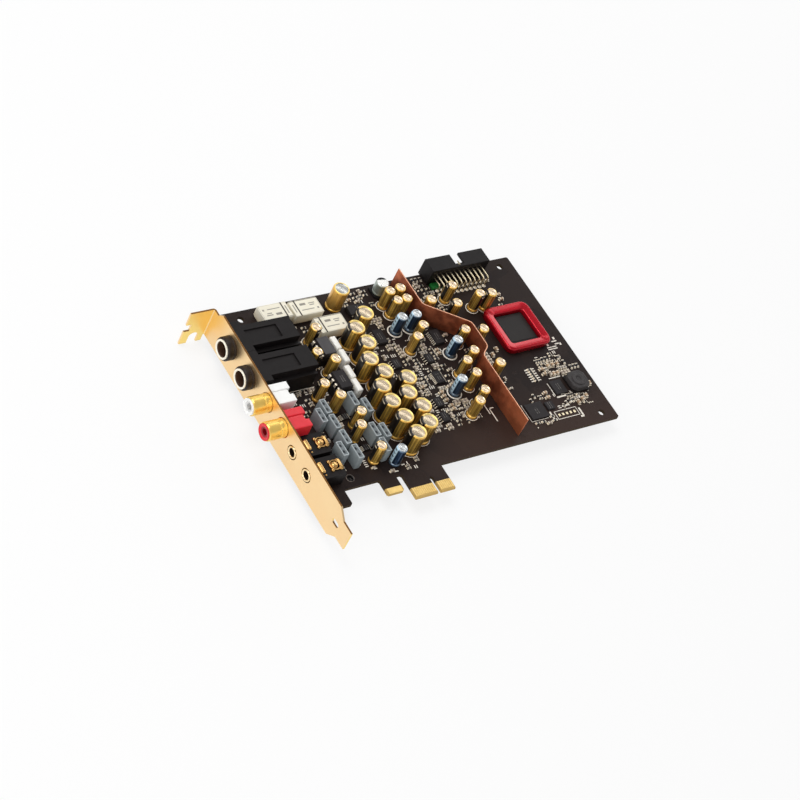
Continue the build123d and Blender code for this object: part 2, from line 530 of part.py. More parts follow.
def chip_leads(x, y, width, length, thick, count, pitch, on_x):
    """Leads from the sides of a package down to the board."""
    half, turn = (width / 2, 0) if on_x else (length / 2, 90)
    leads = side_leads(half, LEAD_REACH, thick / 2, 0, LEAD_THICK, LEAD_WIDTH, count, pitch)
    return [Pos(x, y, 0) * Rot(0, 0, turn) * lead for lead in leads]


def core_cover():
    """Red frame round the processor: upright outside, its inner faces sloping down to the open window."""
    mouth = COVER_SIZE - 2 * COVER_RIM
    depth = COVER_HIGH - COVER_WINDOW_LEVEL
    slope = math.degrees(math.atan2((mouth - COVER_WINDOW) / 2, depth))
    outside = chamfer(Rectangle(COVER_SIZE, COVER_SIZE).vertices(), COVER_CORNER)
    inside = chamfer(Rectangle(mouth, mouth).vertices(), COVER_CORNER - COVER_RIM)
    frame = extrude(outside, COVER_HIGH)
    frame -= Pos(0, 0, COVER_HIGH) * Rot(180, 0, 0) * extrude(inside, depth, taper=slope)
    return Pos(*CORE_CENTRE, 0) * (frame - extrude(Rectangle(COVER_WINDOW, COVER_WINDOW), COVER_HIGH))


def shield_strip():
    """Copper strip folded along its route, standing on feet at both ends."""
    path = Polyline(*SHIELD_ROUTE)
    strip = extrude(trace(path, SHIELD_THICK), SHIELD_HIGH)
    first, last = SHIELD_ROUTE[0], SHIELD_ROUTE[-1]
    gap = (last[1] + SHIELD_FOOT_LENGTH, first[1] - SHIELD_FOOT_LENGTH)
    left, right = first[0] - SHIELD_THICK, max(x for x, _ in SHIELD_ROUTE) + SHIELD_THICK
    return strip - block((left, right), gap, (0, SHIELD_FOOT_GAP))


HEADER_ENDS = (HEADER_CENTRE - HEADER_LENGTH / 2, HEADER_CENTRE + HEADER_LENGTH / 2)
HEADER_ROWS = (HEADER_ROW_LOW, HEADER_ROW_LOW + HEADER_PITCH)
HEADER_COLUMN_PLACES = [HEADER_CENTRE + dx for dx in row(HEADER_COLUMNS, HEADER_PITCH)]
HEADER_LEGS = [HEADER_BACK - HEADER_LEG_NEAR - level * HEADER_PITCH for level in range(2)]


def header_shroud():
    """Box open past the board's top edge, keyed through its walls and slotted for two rows of pins."""
    body = block(HEADER_ENDS, (HEADER_BACK, HEADER_MOUTH), (0, HEADER_HIGH))
    inside = (HEADER_ENDS[0] + HEADER_WALL, HEADER_ENDS[1] - HEADER_WALL)
    floor = HEADER_BACK + HEADER_BACK_WALL
    body -= block(inside, (floor, HEADER_MOUTH), (HEADER_WALL, HEADER_HIGH - HEADER_WALL))
    key = (HEADER_CENTRE - HEADER_KEY_WIDTH / 2, HEADER_CENTRE + HEADER_KEY_WIDTH / 2)
    body -= block(key, (floor, HEADER_MOUTH), (0, HEADER_HIGH))
    half = HEADER_PIN / 2
    slot = (HEADER_COLUMN_PLACES[0] - half, HEADER_COLUMN_PLACES[-1] + half)
    for z in HEADER_ROWS:
        body -= block(slot, (HEADER_BACK, floor), (z - half, z + half))
    return body


def header_pins():
    """Square pins that leave the back of the shroud and turn down into the board."""
    half = HEADER_PIN / 2
    pins = []
    for leg, z in zip(HEADER_LEGS, HEADER_ROWS):
        bent = Polyline(
            (leg - half, 0), (leg + half, 0), (leg + half, z - half), (HEADER_PIN_TIP, z - half),
            (HEADER_PIN_TIP, z + half), (leg - half, z + half), close=True,
        )
        pin = extrude(Plane.YZ * make_face(bent), half, both=True)
        pins += [Pos(x, 0, 0) * pin for x in HEADER_COLUMN_PLACES]
    return pins


def choke():
    """Shielded choke: a chamfered ferrite block on a thin square base."""
    x, y = CHOKE_CENTRE
    core = post(x, y, CHOKE_SIZE, CHOKE_SIZE, (CHOKE_BASE, CHOKE_HIGH))
    core = chamfer(core.edges().filter_by(Axis.Z), CHOKE_CORNER)
    return core, post(x, y, CHOKE_SIZE, CHOKE_SIZE, (0, CHOKE_BASE))


def chip_rows(rows, length, width, high):
    """Small two ended parts in evenly spaced rows."""
    parts = []
    for x, y, count, step_x, step_y, upright in rows:
        size = (width, length) if upright else (length, width)
        parts += [post(x + i * step_x, y + i * step_y, *size, (0, high)) for i in range(count)]
    return parts


def solder_joints():
    """Cones of solder under the leads of the parts that go through the board."""
    places = []
    for spots, radius in ((LARGE_PLACES, LARGE_R), (SMALL_PLACES, SMALL_R), (BLUE_PLACES, SMALL_R)):
        places += [(x + side * radius * LEAD_SPREAD, y) for x, y in spots for side in (-1, 1)]
    for spots, length in ((FILM_PLACES, FILM_LENGTH), (WHITE_PLACES, WHITE_LENGTH)):
        places += [(x, y + side * length / 2 * BOX_LEAD_SPREAD) for x, y in spots for side in (-1, 1)]
    for x, y in AMP_PLACES:
        pins = row(AMP_LEADS, AMP_LEAD_PITCH)
        places += [(x + side * AMP_ROW / 2, y + dy) for side in (-1, 1) for dy in pins]
    for x, y, _ in RELAY_PLACES:
        pins = row(RELAY_PINS, RELAY_PIN_PITCH)
        places += [(x + dx, y + side * RELAY_PIN_ROW / 2) for side in (-1, 1) for dx in pins]
    places += [(x, leg) for x in HEADER_COLUMN_PLACES for leg in HEADER_LEGS]
    point = JOINT_WIDTH / 2
    joint = Wedge(JOINT_WIDTH, JOINT_HIGH, JOINT_WIDTH, point, point, point, point,
                  align=(Align.CENTER, Align.MIN, Align.CENTER))
    return [Pos(x, y, BOARD_BACK) * Rot(-90, 0, 0) * joint for x, y in places]


save("circuit_board", circuit_board())
save("edge_contacts", *edge_contacts())
save("bracket", bracket())
for number, jack_y in enumerate(JACK_Y, 1):
    save(f"jack_{number}_housing", jack_housing(jack_y))
    save(f"jack_{number}_contacts", *jack_contacts(jack_y))
    save(f"jack_{number}_bushing", jack_bushing(jack_y))
    save(f"jack_{number}_nut", jack_nut(jack_y))
for colour, phono_y in zip(("white", "red"), PHONO_Y):
    save(f"phono_{colour}_housing", phono_housing(phono_y))
    save(f"phono_{colour}_shell", phono_shell(phono_y))
    save(f"phono_{colour}_contact", phono_contact(phono_y))
for number, mini_y in enumerate(MINI_Y, 1):
    save(f"minijack_{number}_housing", mini_housing(mini_y))
    save(f"minijack_{number}_barrel", mini_barrel(mini_y))
    save(f"minijack_{number}_contacts", *mini_contacts(mini_y))
for number, relay_place in enumerate(RELAY_PLACES, 1):
    save(f"relay_{number}", relay(*relay_place))
save("large_capacitors", *[can(place, LARGE_R, LARGE_HIGH, LARGE_SIDES) for place in LARGE_PLACES])
save("small_capacitors", *[can(place, SMALL_R, SMALL_HIGH, SMALL_SIDES) for place in SMALL_PLACES])
save("blue_capacitors", *[can(place, SMALL_R, BLUE_HIGH, SMALL_SIDES) for place in BLUE_PLACES])
save("plain_capacitor", can(PLAIN_PLACE, PLAIN_R, PLAIN_HIGH, LARGE_SIDES))
grey_base, grey_can = surface_can()
save("grey_capacitor_base", grey_base)
save("grey_capacitor", grey_can)
save("film_capacitors", *[film_box(*place) for place in FILM_PLACES])
save("white_capacitors", *[white_box(*place) for place in WHITE_PLACES])
for number, amp_place in enumerate(AMP_PLACES, 1):
    save(f"amplifier_{number}_socket", amp_socket(*amp_place))
    save(f"amplifier_{number}", amp(*amp_place))
    save(f"amplifier_{number}_leads", *amp_leads(*amp_place))
save("leaded_chips", *[chip(*place[:5]) for place in CHIP_PLACES])
save("chip_leads", *[lead for place in CHIP_PLACES for lead in chip_leads(*place)])
save("flat_chips", *[chip(x, y, w, h, t) for x, y, w, h, t in FLAT_CHIP_PLACES])
save("core_chip", post(*CORE_CENTRE, CORE_SIZE, CORE_SIZE, (0, CORE_THICK)))
save("core_cover", core_cover())
save("shield_strip", shield_strip())
save("header_shroud", header_shroud())
save("header_pins", *header_pins())
choke_core, choke_base = choke()
save("choke_core", choke_core)
save("choke_base", choke_base)
save("fuse", post(*FUSE_CENTRE, FUSE_LENGTH, FUSE_WIDTH, (0, FUSE_HIGH)))
save("chip_resistors", *chip_rows(RESISTOR_ROWS, RESISTOR_LENGTH, RESISTOR_WIDTH, RESISTOR_HIGH))
save("chip_ceramics", *chip_rows(CERAMIC_ROWS, CERAMIC_LENGTH, CERAMIC_WIDTH, CERAMIC_HIGH))
save("solder_joints", *solder_joints())
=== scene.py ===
import math

import bpy
import numpy as np
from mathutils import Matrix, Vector


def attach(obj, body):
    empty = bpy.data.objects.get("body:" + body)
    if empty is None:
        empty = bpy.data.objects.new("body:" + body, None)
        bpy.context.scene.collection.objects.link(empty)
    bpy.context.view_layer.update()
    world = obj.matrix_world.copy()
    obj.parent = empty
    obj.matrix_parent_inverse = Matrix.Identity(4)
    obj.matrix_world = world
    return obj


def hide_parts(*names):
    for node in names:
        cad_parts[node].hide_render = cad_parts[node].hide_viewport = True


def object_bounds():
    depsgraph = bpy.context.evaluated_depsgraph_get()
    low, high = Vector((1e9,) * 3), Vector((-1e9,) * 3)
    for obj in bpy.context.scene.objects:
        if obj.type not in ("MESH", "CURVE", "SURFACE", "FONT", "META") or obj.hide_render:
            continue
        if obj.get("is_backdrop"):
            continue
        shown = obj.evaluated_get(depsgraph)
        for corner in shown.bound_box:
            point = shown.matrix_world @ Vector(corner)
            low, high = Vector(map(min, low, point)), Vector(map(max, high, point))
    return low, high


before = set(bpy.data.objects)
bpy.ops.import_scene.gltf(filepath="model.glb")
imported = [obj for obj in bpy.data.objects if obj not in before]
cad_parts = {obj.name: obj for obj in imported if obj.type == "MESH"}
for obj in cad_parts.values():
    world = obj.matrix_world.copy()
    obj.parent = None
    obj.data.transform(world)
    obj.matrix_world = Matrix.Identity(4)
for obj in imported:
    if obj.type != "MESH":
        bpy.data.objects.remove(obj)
cad_low, cad_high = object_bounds()

# Studio: the card lies on a plain pale table, its bracket hanging past the board to the table top.
# A soft box stands overhead, two wide strips behind, two boxes beside the camera, and the room is white
# at the horizon and dim above. The camera looks down over the bracket.
scene = bpy.context.scene
scene.view_settings.view_transform = "Standard"
lens = bpy.data.cameras.new("eye")
lens.sensor_width, lens.lens = 36.0, 100.276
lens.clip_start, lens.clip_end = 0.05, 30.0
eye = bpy.data.objects.new("eye", lens)
eye.location = (-0.53942, -0.36103, 0.66470)
eye.rotation_euler = [math.radians(angle) for angle in (41.8662, -20.6513, -31.7672)]
scene.collection.objects.link(eye)
scene.camera = eye
CARD_MIDDLE = Vector((0.02, 0.05, 0.0))


def soft_box(name, place, wide, tall, watts):
    """A rectangular lamp turned from its place to the middle of the card, its wide side level."""
    light = bpy.data.lights.new(name, "AREA")
    light.shape = "RECTANGLE"
    light.size, light.size_y, light.energy = wide, tall, watts
    lamp = bpy.data.objects.new(name, light)
    lamp.location = place
    lamp.rotation_euler = (CARD_MIDDLE - Vector(place)).to_track_quat("-Z", "Y").to_euler()
    scene.collection.objects.link(lamp)


soft_box("overhead", (-0.20, 0.40, 0.95), 0.60, 0.60, 4.6)
soft_box("strip_behind", (0.64, 0.47, 0.78), 0.95, 0.16, 1.08)
soft_box("low_behind", (0.86, 0.62, 0.36), 0.90, 0.24, 1.25)
soft_box("front_left", (-0.80, -0.42, 0.50), 0.60, 0.60, 2.7)
soft_box("left", (-0.85, 0.15, 0.55), 0.40, 0.40, 0.7)


class Tone:
    """A socket of a shader tree; sums and products of tones add the Math nodes of the expression."""

    def __init__(self, tree, socket):
        self.tree, self.socket = tree, socket

    def node(self, kind, settings=None, sockets=None, output=0):
        """A node of a kind: its settings are set first, then its sockets get values or links."""
        made = self.tree.nodes.new(kind)
        for key, value in (settings or {}).items():
            setattr(made, key, value)
        for key, value in (sockets or {}).items():
            socket = made.inputs[key]
            if isinstance(value, Tone):
                self.tree.links.new(value.socket, socket)
            else:
                socket.default_value = (*value, 1.0) if socket.type == "RGBA" else value
        return Tone(self.tree, made.outputs[output]) if len(made.outputs) else made

    def math(self, operation, *values):
        return self.node("ShaderNodeMath", {"operation": operation}, dict(enumerate(values)))

    def __add__(self, other):
        return self.math("ADD", self, other)

    def __sub__(self, other):
        return self.math("SUBTRACT", self, other)

    def __rsub__(self, other):
        return self.math("SUBTRACT", other, self)

    def __mul__(self, other):
        return self.math("MULTIPLY", self, other)

    def __truediv__(self, other):
        return self.math("DIVIDE", self, other)

    def __abs__(self):
        return self.math("ABSOLUTE", self)

    __radd__, __rmul__ = __add__, __mul__

    def either(self, other):
        return self.math("MAXIMUM", self, other)

    def least(self, other):
        return self.math("MINIMUM", self, other)

    def root(self):
        return self.math("SQRT", self)

    def wave(self, half):
        """Triangle wave that rises from 0 to 1 over half a period and falls back."""
        return self.math("PINGPONG", self, half) / half

    def step(self, low, high):
        """Smooth rise from 0 at low to 1 at high; a high below the low makes it a fall."""
        span = {"Value": self, "From Min": low, "From Max": high}
        return self.node("ShaderNodeMapRange", {"interpolation_type": "SMOOTHSTEP"}, span)

    def band(self, middle, width, soft=0.08):
        """1 across a band of a width about a middle, with soft edges."""
        return abs(self - middle).step(width / 2 + soft, width / 2 - soft)

    def mix(self, low, high):
        """Colour that goes from low to high as this tone goes from 0 to 1."""
        return self.node("ShaderNodeMix", {"data_type": "RGBA"}, {0: self, 6: low, 7: high}, 2)

    def axis(self, number):
        """One of the three parts of a vector."""
        return self.node("ShaderNodeSeparateXYZ", None, {0: self}, number)

    def cloud(self, size, detail=3.0):
        """Soft mottling between 0 and 1 whose patches are about this size."""
        return self.node("ShaderNodeTexNoise", None, {"Vector": self, "Scale": 1 / size, "Detail": detail})

    def stretched(self, x, y, z):
        """Coordinates divided by a length along each axis."""
        return self.node("ShaderNodeVectorMath", {"operation": "DIVIDE"}, {0: self, 1: (x, y, z)})

    def relief(self, depth):
        """Normal of a surface that this tone raises by a depth in millimetres."""
        bump = {"Height": self, "Distance": depth / 1000, "Strength": 1.0}
        return self.node("ShaderNodeBump", None, bump)


table = bpy.data.materials.new("pale_table")
table.use_nodes = True
tree = table.node_tree
tree.nodes.clear()
ray = Tone(tree, tree.nodes.new("ShaderNodeLightPath").outputs["Is Camera Ray"])
rays = ray.socket.node.outputs
seen = ray.either(Tone(tree, rays["Is Glossy Ray"])).either(Tone(tree, rays["Is Transmission Ray"]))
wash = seen.node("ShaderNodeBsdfDiffuse", None, {"Color": (0.86, 0.86, 0.86)})
white = seen.node("ShaderNodeEmission", None, {"Color": (1.0, 1.0, 1.0), "Strength": 1.0})
blend = seen.node("ShaderNodeMixShader", None, {0: seen * 0.80, 1: wash, 2: white})
blend.node("ShaderNodeOutputMaterial", None, {"Surface": blend})
ground = bpy.data.meshes.new("table_top")
REACH, LEVEL = 4.0, cad_low.z
ground.from_pydata([(-REACH, -REACH, LEVEL), (REACH, -REACH, LEVEL), (REACH, REACH, LEVEL),
                    (-REACH, REACH, LEVEL)], [], [(0, 1, 2, 3)])
ground.materials.append(table)
table_top = bpy.data.objects.new("table_top", ground)
scene.collection.objects.link(table_top)
table_top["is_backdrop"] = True

room = bpy.data.worlds.new("white_room")
scene.world = room
room.use_nodes = True
tree = room.node_tree
tree.nodes.clear()
sky = Tone(tree, tree.nodes.new("ShaderNodeTexCoord").outputs["Generated"])
shade = sky.axis(2).step(0.05, 0.62).mix((1.0, 1.0, 1.0), (0.40, 0.40, 0.40))
air = shade.node("ShaderNodeBackground", None, {"Color": shade, "Strength": 1.0})
air.node("ShaderNodeOutputWorld", None, {"Surface": air})


# Circuit board: glass laminate with copper on its faces under a matt brown black solder mask. The traces
# show through the mask as a faint relief, the sawn edges show the laminate, and the tongues are left bare.
# A painted sheen makes the mask a shade paler toward the lower far end.
MM = 0.001


def ink(red, green, blue):
    """A colour as a screen shows it, 0 to 255, in the linear light that shaders work in."""
    shown = np.array([red, green, blue]) / 255
    return tuple(np.where(shown <= 0.04045, shown / 12.92, ((shown + 0.055) / 1.055) ** 2.4).tolist())


def finish(name, constants):
    """A material whose even values sit on the shader's own sockets, and its coordinates in millimetres."""
    material = bpy.data.materials.new(name)
    material.use_nodes = True
    tree = material.node_tree
    shader = tree.nodes["Principled BSDF"]
    for key, value in constants.items():
        shader.inputs[key].default_value = (*value, 1.0) if shader.inputs[key].type == "RGBA" else value
    metres = Tone(tree, tree.nodes.new("ShaderNodeTexCoord").outputs["Object"])
    scaled = {0: metres, "Scale": 1000.0}
    return material, metres.node("ShaderNodeVectorMath", {"operation": "SCALE"}, scaled)


def lay(material, tones):
    """Links tones to the sockets of a material's shader."""
    shader = material.node_tree.nodes["Principled BSDF"]
    for key, tone in tones.items():
        material.node_tree.links.new(tone.socket, shader.inputs[key])


def coat(node, material):
    """A CAD node keeps its shape and takes a material."""
    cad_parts[node].data.materials.clear()
    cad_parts[node].data.materials.append(material)


def slope(place, number):
    """How far a surface faces along one axis, either way: 0 across it, 1 square to it."""
    return abs(place.node("ShaderNodeNewGeometry", None, None, 1).axis(number))


mask, place = finish("solder_mask", {"Specular IOR Level": 0.12})
flat = place.stretched(1, 1, 40)
blocks = flat.node("ShaderNodeTexVoronoi", {"distance": "CHEBYCHEV"}, {"Vector": flat, "Scale": 0.11}, 1)
heading = blocks.axis(0).step(0.49, 0.51)
stripe = heading * place.axis(0) + (1 - heading) * place.axis(1)
traces = stripe.wave(0.42).band(0.5, 0.52, 0.1) * blocks.axis(1).step(0.45, 0.5)
plane = flat.cloud(14.0, 2.0).step(0.46, 0.5) * (1 - traces)
side = slope(place, 2).step(0.6, 0.4)
laminate = place.axis(2).wave(0.2).mix(ink(46, 36, 27), ink(74, 60, 40))
film = place.cloud(0.5).mix(ink(29, 21, 20), ink(37, 28, 26))
film = (traces * 0.5 + plane * 0.3).mix(film, ink(50, 38, 33))
along, up = place.axis(0), place.axis(1)
# Painted sheen: the mask is painted paler toward its lower far end.
painted_sheen_zone = up.step(42.0, 14.0) * along.step(-20.0, 30.0)
film = (painted_sheen_zone * 0.55).mix(film, ink(66, 49, 42))
CONTACT_LEFT, CONTACT_TOP = -15.2, 5.2
SUPPORT_MIDDLE, SUPPORT_WIDE, SUPPORT_TOP = -19.65, 8.5, 8.0
contact_tongue = up.step(CONTACT_TOP + 0.1, CONTACT_TOP) * along.step(CONTACT_LEFT - 0.1, CONTACT_LEFT)
support_tongue = along.band(SUPPORT_MIDDLE, SUPPORT_WIDE, 0.05) * up.step(SUPPORT_TOP + 0.1, SUPPORT_TOP)
unmasked = contact_tongue.either(support_tongue)
resin = place.cloud(0.8).mix(ink(206, 174, 106), ink(184, 150, 88))
lay(mask, {
    "Base Color": unmasked.mix(side.mix(film, laminate), resin),
    "Roughness": 0.46 + 0.14 * place.cloud(0.3) + 0.2 * side,
    "Normal": (traces * 1.0 + plane * 0.7 + place.cloud(0.12) * 0.25).relief(0.03),
})
coat("circuit_board", mask)


# White legend printed on the board: rings round the feet of cans, the outline of a connector, arcs and
# short plain bars. The print is a thin raised layer of ink, worn grey in places.
class Shape:
    """Points in millimetres and polygons of a skin; local keeps a point's place in its own copy."""

    def __init__(self, points, loops, sizes, local=None, lot=None):
        self.points, self.loops, self.sizes = points, loops, sizes
        self.local = points if local is None else local
        self.lot = np.zeros(len(points)) if lot is None else lot

    def placed(self, places, turns=0.0):
        """Copies turned about the upright axis and moved, one for each place."""
        places = np.atleast_2d(np.asarray(places, float))
        count, size = len(places), len(self.points)
        turns = np.broadcast_to(np.asarray(turns, float), count)
        cos, sin = np.cos(turns)[:, None], np.sin(turns)[:, None]
        x, y, z = self.points.T
        spun = np.stack([cos * x - sin * y, sin * x + cos * y, np.broadcast_to(z, (count, size))], -1)
        loops = self.loops + size * np.arange(count)[:, None]
        return Shape((spun + places[:, None]).reshape(-1, 3), loops.ravel(), np.tile(self.sizes, count),
                     np.tile(self.local, (count, 1)), np.repeat(np.arange(count), size) + 0.0)

    def facing_out(self, x, y, z):
        """The upright axis laid along -X, out through the bracket, from a point on its face."""
        up_x, up_y, up_z = self.points.T
        return Shape(np.stack([x - up_z, y + up_y, z + up_x], -1), self.loops, self.sizes, self.local)


def together(*shapes):
    """Several shapes as one, their lots counted on."""
    starts = np.cumsum([0] + [len(s.points) for s in shapes])
    return Shape(np.concatenate([s.points for s in shapes]),
                 np.concatenate([s.loops + n for s, n in zip(shapes, starts)]),
                 np.concatenate([s.sizes for s in shapes]),
                 np.concatenate([s.local for s in shapes]),
                 np.concatenate([s.lot + 7 * i for i, s in enumerate(shapes)]))


def lofted(rings, ends="capped"):
    """Skin over a stack of closed rings: capped closes both ends flat, joined leads back to the first."""
    rings = np.asarray(rings, float)
    levels, around = rings.shape[:2]
    here = np.arange(around)
    ahead = np.roll(here, -1)
    low = np.arange(levels - (ends == "capped"))[:, None] * around
    high = (low + around) % (levels * around)
    quads = np.stack([low + here, low + ahead, high + ahead, high + here], -1)
    loops, sizes = quads.ravel(), np.full(quads.size // 4, 4)
    if ends == "capped":
        loops = np.concatenate([loops, here[::-1], (levels - 1) * around + here])
        sizes = np.concatenate([sizes, [around, around]])
    return Shape(rings.reshape(-1, 3), loops, sizes)


def turned(profile, sides=48, ends="capped"):
    """A profile of radius and height carried round the upright axis."""
    radius, height = np.asarray(profile, float).T[:, :, None]
    angle = np.arange(sides) * 2 * np.pi / sides
    return lofted(np.stack([radius * np.cos(angle), radius * np.sin(angle), height + 0 * angle], -1), ends)


def softened(corners, radius, steps=3, closed=False):
    """A path whose corners give way to parabolas that start and end a radius away from each corner."""
    p = np.asarray(corners, float)
    back, on = np.roll(p, 1, 0) - p, np.roll(p, -1, 0) - p
    back_long, on_long = np.linalg.norm(back, axis=1), np.linalg.norm(on, axis=1)
    reach = np.minimum(radius, 0.48 * np.minimum(back_long, on_long))
    start, end = p + back * (reach / back_long)[:, None], p + on * (reach / on_long)[:, None]
    t = np.linspace(0, 1, steps + 1)[None, :, None]
    bends = (1 - t) ** 2 * start[:, None] + 2 * t * (1 - t) * p[:, None] + t ** 2 * end[:, None]
    if closed:
        return bends.reshape(-1, p.shape[1])
    return np.concatenate([p[:1], bends[1:-1].reshape(-1, p.shape[1]), p[-1:]])


def inset(outline, depth):
    """A closed outline, counter-clockwise, moved in along its normals by a depth."""
    back, on = outline - np.roll(outline, 1, 0), np.roll(outline, -1, 0) - outline
    back, on = (v / np.linalg.norm(v, axis=1)[:, None] for v in (back, on))
    along = (back + on) / np.linalg.norm(back + on, axis=1)[:, None]
    mitre = np.maximum((along * on).sum(1), 0.4)
    return outline + np.stack([-along[:, 1], along[:, 0]], -1) * (depth / mitre)[:, None]


def walled(corners, radius, levels, steps=3):
    """Rings of an outline with rounded corners, each moved in by a depth and raised to a height."""
    corners = np.asarray(corners, float)
    rings = [softened(inset(corners, depth), max(radius - depth, 0.03), steps, True) for depth, _ in levels]
    return np.stack([np.c_[ring, np.full(len(ring), height)] for ring, (_, height) in zip(rings, levels)])


def rectangle(length, width):
    """Corners of a rectangle about the middle, counter-clockwise."""
    return np.array([(length, -width), (length, width), (-length, width), (-length, -width)]) / 2


LIKE_SOLIDS = {  # how many a CAD node holds, where it holds more than one
    "large_capacitors": 13, "small_capacitors": 27, "blue_capacitors": 5, "film_capacitors": 11,
    "white_capacitors": 4, "leaded_chips": 10, "chip_leads": 124, "flat_chips": 3, "header_pins": 22,
    "chip_resistors": 59, "chip_ceramics": 30, "solder_joints": 182,
}


def copies(node):
    """Low and high corners, in millimetres, of each of the like solids that a CAD node holds."""
    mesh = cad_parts[node].data
    points = np.empty(len(mesh.vertices) * 3, np.float32)
    mesh.vertices.foreach_get("co", points)
    solids = points.reshape(LIKE_SOLIDS.get(node, 1), -1, 3) / MM
    return solids.min(1), solids.max(1)


def feet(node):
    """Middle of each solid of a CAD node, on its lowest level."""
    low, high = copies(node)
    return np.c_[(low + high)[:, :2] / 2, low[:, 2]]


def built(name, shape, material, slot, *nodes, crease=32):
    """A piece of the card, smooth shaded up to a crease angle; the CAD nodes it stands for are hidden."""
    mesh = bpy.data.meshes.new(name)
    mesh.vertices.add(len(shape.points))
    mesh.vertices.foreach_set("co", (shape.points * MM).ravel())
    mesh.loops.add(len(shape.loops))
    mesh.loops.foreach_set("vertex_index", shape.loops.astype(np.int32))
    mesh.polygons.add(len(shape.sizes))
    starts = np.concatenate([[0], np.cumsum(shape.sizes)[:-1]])
    mesh.polygons.foreach_set("loop_start", starts.astype(np.int32))
    mesh.update(calc_edges=True)
    mesh.validate()
    mesh.shade_smooth()
    mesh.set_sharp_from_angle(angle=math.radians(crease))
    mesh.attributes.new("local", "FLOAT_VECTOR", "POINT").data.foreach_set("vector", shape.local.ravel())
    mesh.attributes.new("lot", "FLOAT", "POINT").data.foreach_set("value", shape.lot)
    mesh.materials.append(material)
    piece = bpy.data.objects.new(name, mesh)
    scene.collection.objects.link(piece)
    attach(piece, "root")
    if nodes:
        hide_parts(*nodes)
    return piece


LEGEND_HIGH = 0.03
legend, place = finish("legend_ink", {"Roughness": 0.6, "Specular IOR Level": 0.3})
worn = place.cloud(0.35, 4.0).step(0.30, 0.46)
lay(legend, {"Base Color": worn.mix(ink(168, 158, 146), ink(240, 233, 220)),
             "Normal": place.cloud(0.1).relief(0.01)})


def ring_mark(radius, thin, thick, widest=math.radians(225), sides=44):
    """A printed ring whose line swells from thin to thick, as the cosine of the angle from its widest."""
    angle = np.arange(sides) * 2 * np.pi / sides
    line = thin + (thick - thin) * (0.5 + 0.5 * np.cos(angle - widest))
    reach = np.stack([radius - line, radius + 0 * line, radius + 0 * line, radius - line])
    height = np.array([0, 0, LEGEND_HIGH, LEGEND_HIGH])[:, None] + 0 * angle
    return lofted(np.stack([reach * np.cos(angle), reach * np.sin(angle), height], -1), "joined")


def arc_mark(radius, line, start, sweep, steps=17):
    """A printed arc of one line, from a start angle through a sweep in degrees."""
    angle = np.radians(start + np.linspace(0, sweep, steps))
    round_in = np.stack([np.cos(angle), np.sin(angle)], -1)
    outline = np.concatenate([radius * round_in, (radius - line) * round_in[::-1]])
    return lofted(np.stack([np.c_[outline, np.full(2 * steps, z)] for z in (0.0, LEGEND_HIGH)]))


def bar_mark(length, width):
    """A printed dash."""
    return lofted(walled(rectangle(length, width), 0.06, [(0, 0), (0, LEGEND_HIGH)], 1))


def frame_mark(length, width, line):
    """A printed rectangle of one line."""
    levels = [(line, 0), (0, 0), (0, LEGEND_HIGH), (line, LEGEND_HIGH)]
    return lofted(walled(rectangle(length, width), 0.1, levels, 1), "joined")


large_feet, small_feet, blue_feet = (feet(f"{kind}_capacitors") for kind in ("large", "small", "blue"))
ringed = small_feet[(small_feet[:, 0] > 0) | (small_feet[:, 1] > 60)]  # those clear of the small jacks
CONNECTOR, CONNECTOR_SIZE = (85.0, 21.4, 0), (12.6, 4.6)
ARC_MIDDLE = (99.5, 35.0, 0)
ARCS = ((6.6, 0.4, -52, 44), (6.6, 0.4, 22, 40), (6.9, 0.5, 96, 30), (6.6, 0.4, 205, 50))
BARS = [  # length, width, then places of bars of that size
    (12.6, 0.4, [(-33.0, 64.6, 0)]),
    (0.26, 9.6, [(64.7, 26.2, 0)]), (9.8, 0.26, [(69.6, 21.4, 0)]),
    (0.4, 7.2, [(85.1, 35.0, 0)]), (5.6, 0.8, [(88.2, 30.4, 0)]),
    (0.9, 4.4, [(92.6, 20.4, 0), (76.7, 22.0, 0)]), (1.8, 0.9, [(91.9, 18.0, 0), (77.2, 19.6, 0)]),
    (6.6, 0.5, [(91.0, 40.8, 0)]), (2.2, 1.4, [(89.6, 32.0, 0)]), (1.7, 1.3, [(91.0, 26.8, 0)]),
    (3.0, 0.6, [(103.6, 59.6, 0), (104.6, 58.0, 0)]), (3.6, 0.8, [(86.6, 25.4, 0)]),
    (0.9, 3.0, [(88.6, 26.4, 0), (96.9, 28.6, 0)]),
    (1.9, 0.55, [(x, y, 0) for x in (79.0, 82.6) for y in (41.4, 42.7, 44.0, 45.3, 46.6, 47.9)]),
    (2.6, 0.5, [(99.0, 56.8, 0), (101.9, 56.8, 0), (99.0, 55.7, 0), (101.9, 55.7, 0)]),
    (1.1, 1.4, [(104.4, 61.2, 0), (106.0, 57.6, 0), (99.0, 58.4, 0)]),
    (0.5, 7.0, [(48.3, 29.6, 0), (47.0, 34.0, 0)]), (2.2, 0.5, [(49.6, 33.4, 0)]),
    (1.7, 0.55, [(-9.0, 17.2, 0), (-13.6, 14.9, 0), (-22.4, 18.7, 0)]), (0.5, 1.4, [(-6.6, 17.6, 0)]),
]
built("board_legend", together(
    ring_mark(4.55, 0.16, 0.36).placed(large_feet), ring_mark(3.2, 0.16, 0.5).placed(ringed),
    ring_mark(3.6, 0.4, 0.8).placed(blue_feet[:4]), frame_mark(*CONNECTOR_SIZE, 0.3).placed(CONNECTOR),
    *(arc_mark(*arc).placed(ARC_MIDDLE) for arc in ARCS),
    *(bar_mark(length, width).placed(spots) for length, width, spots in BARS),
), legend, "white_plastic")


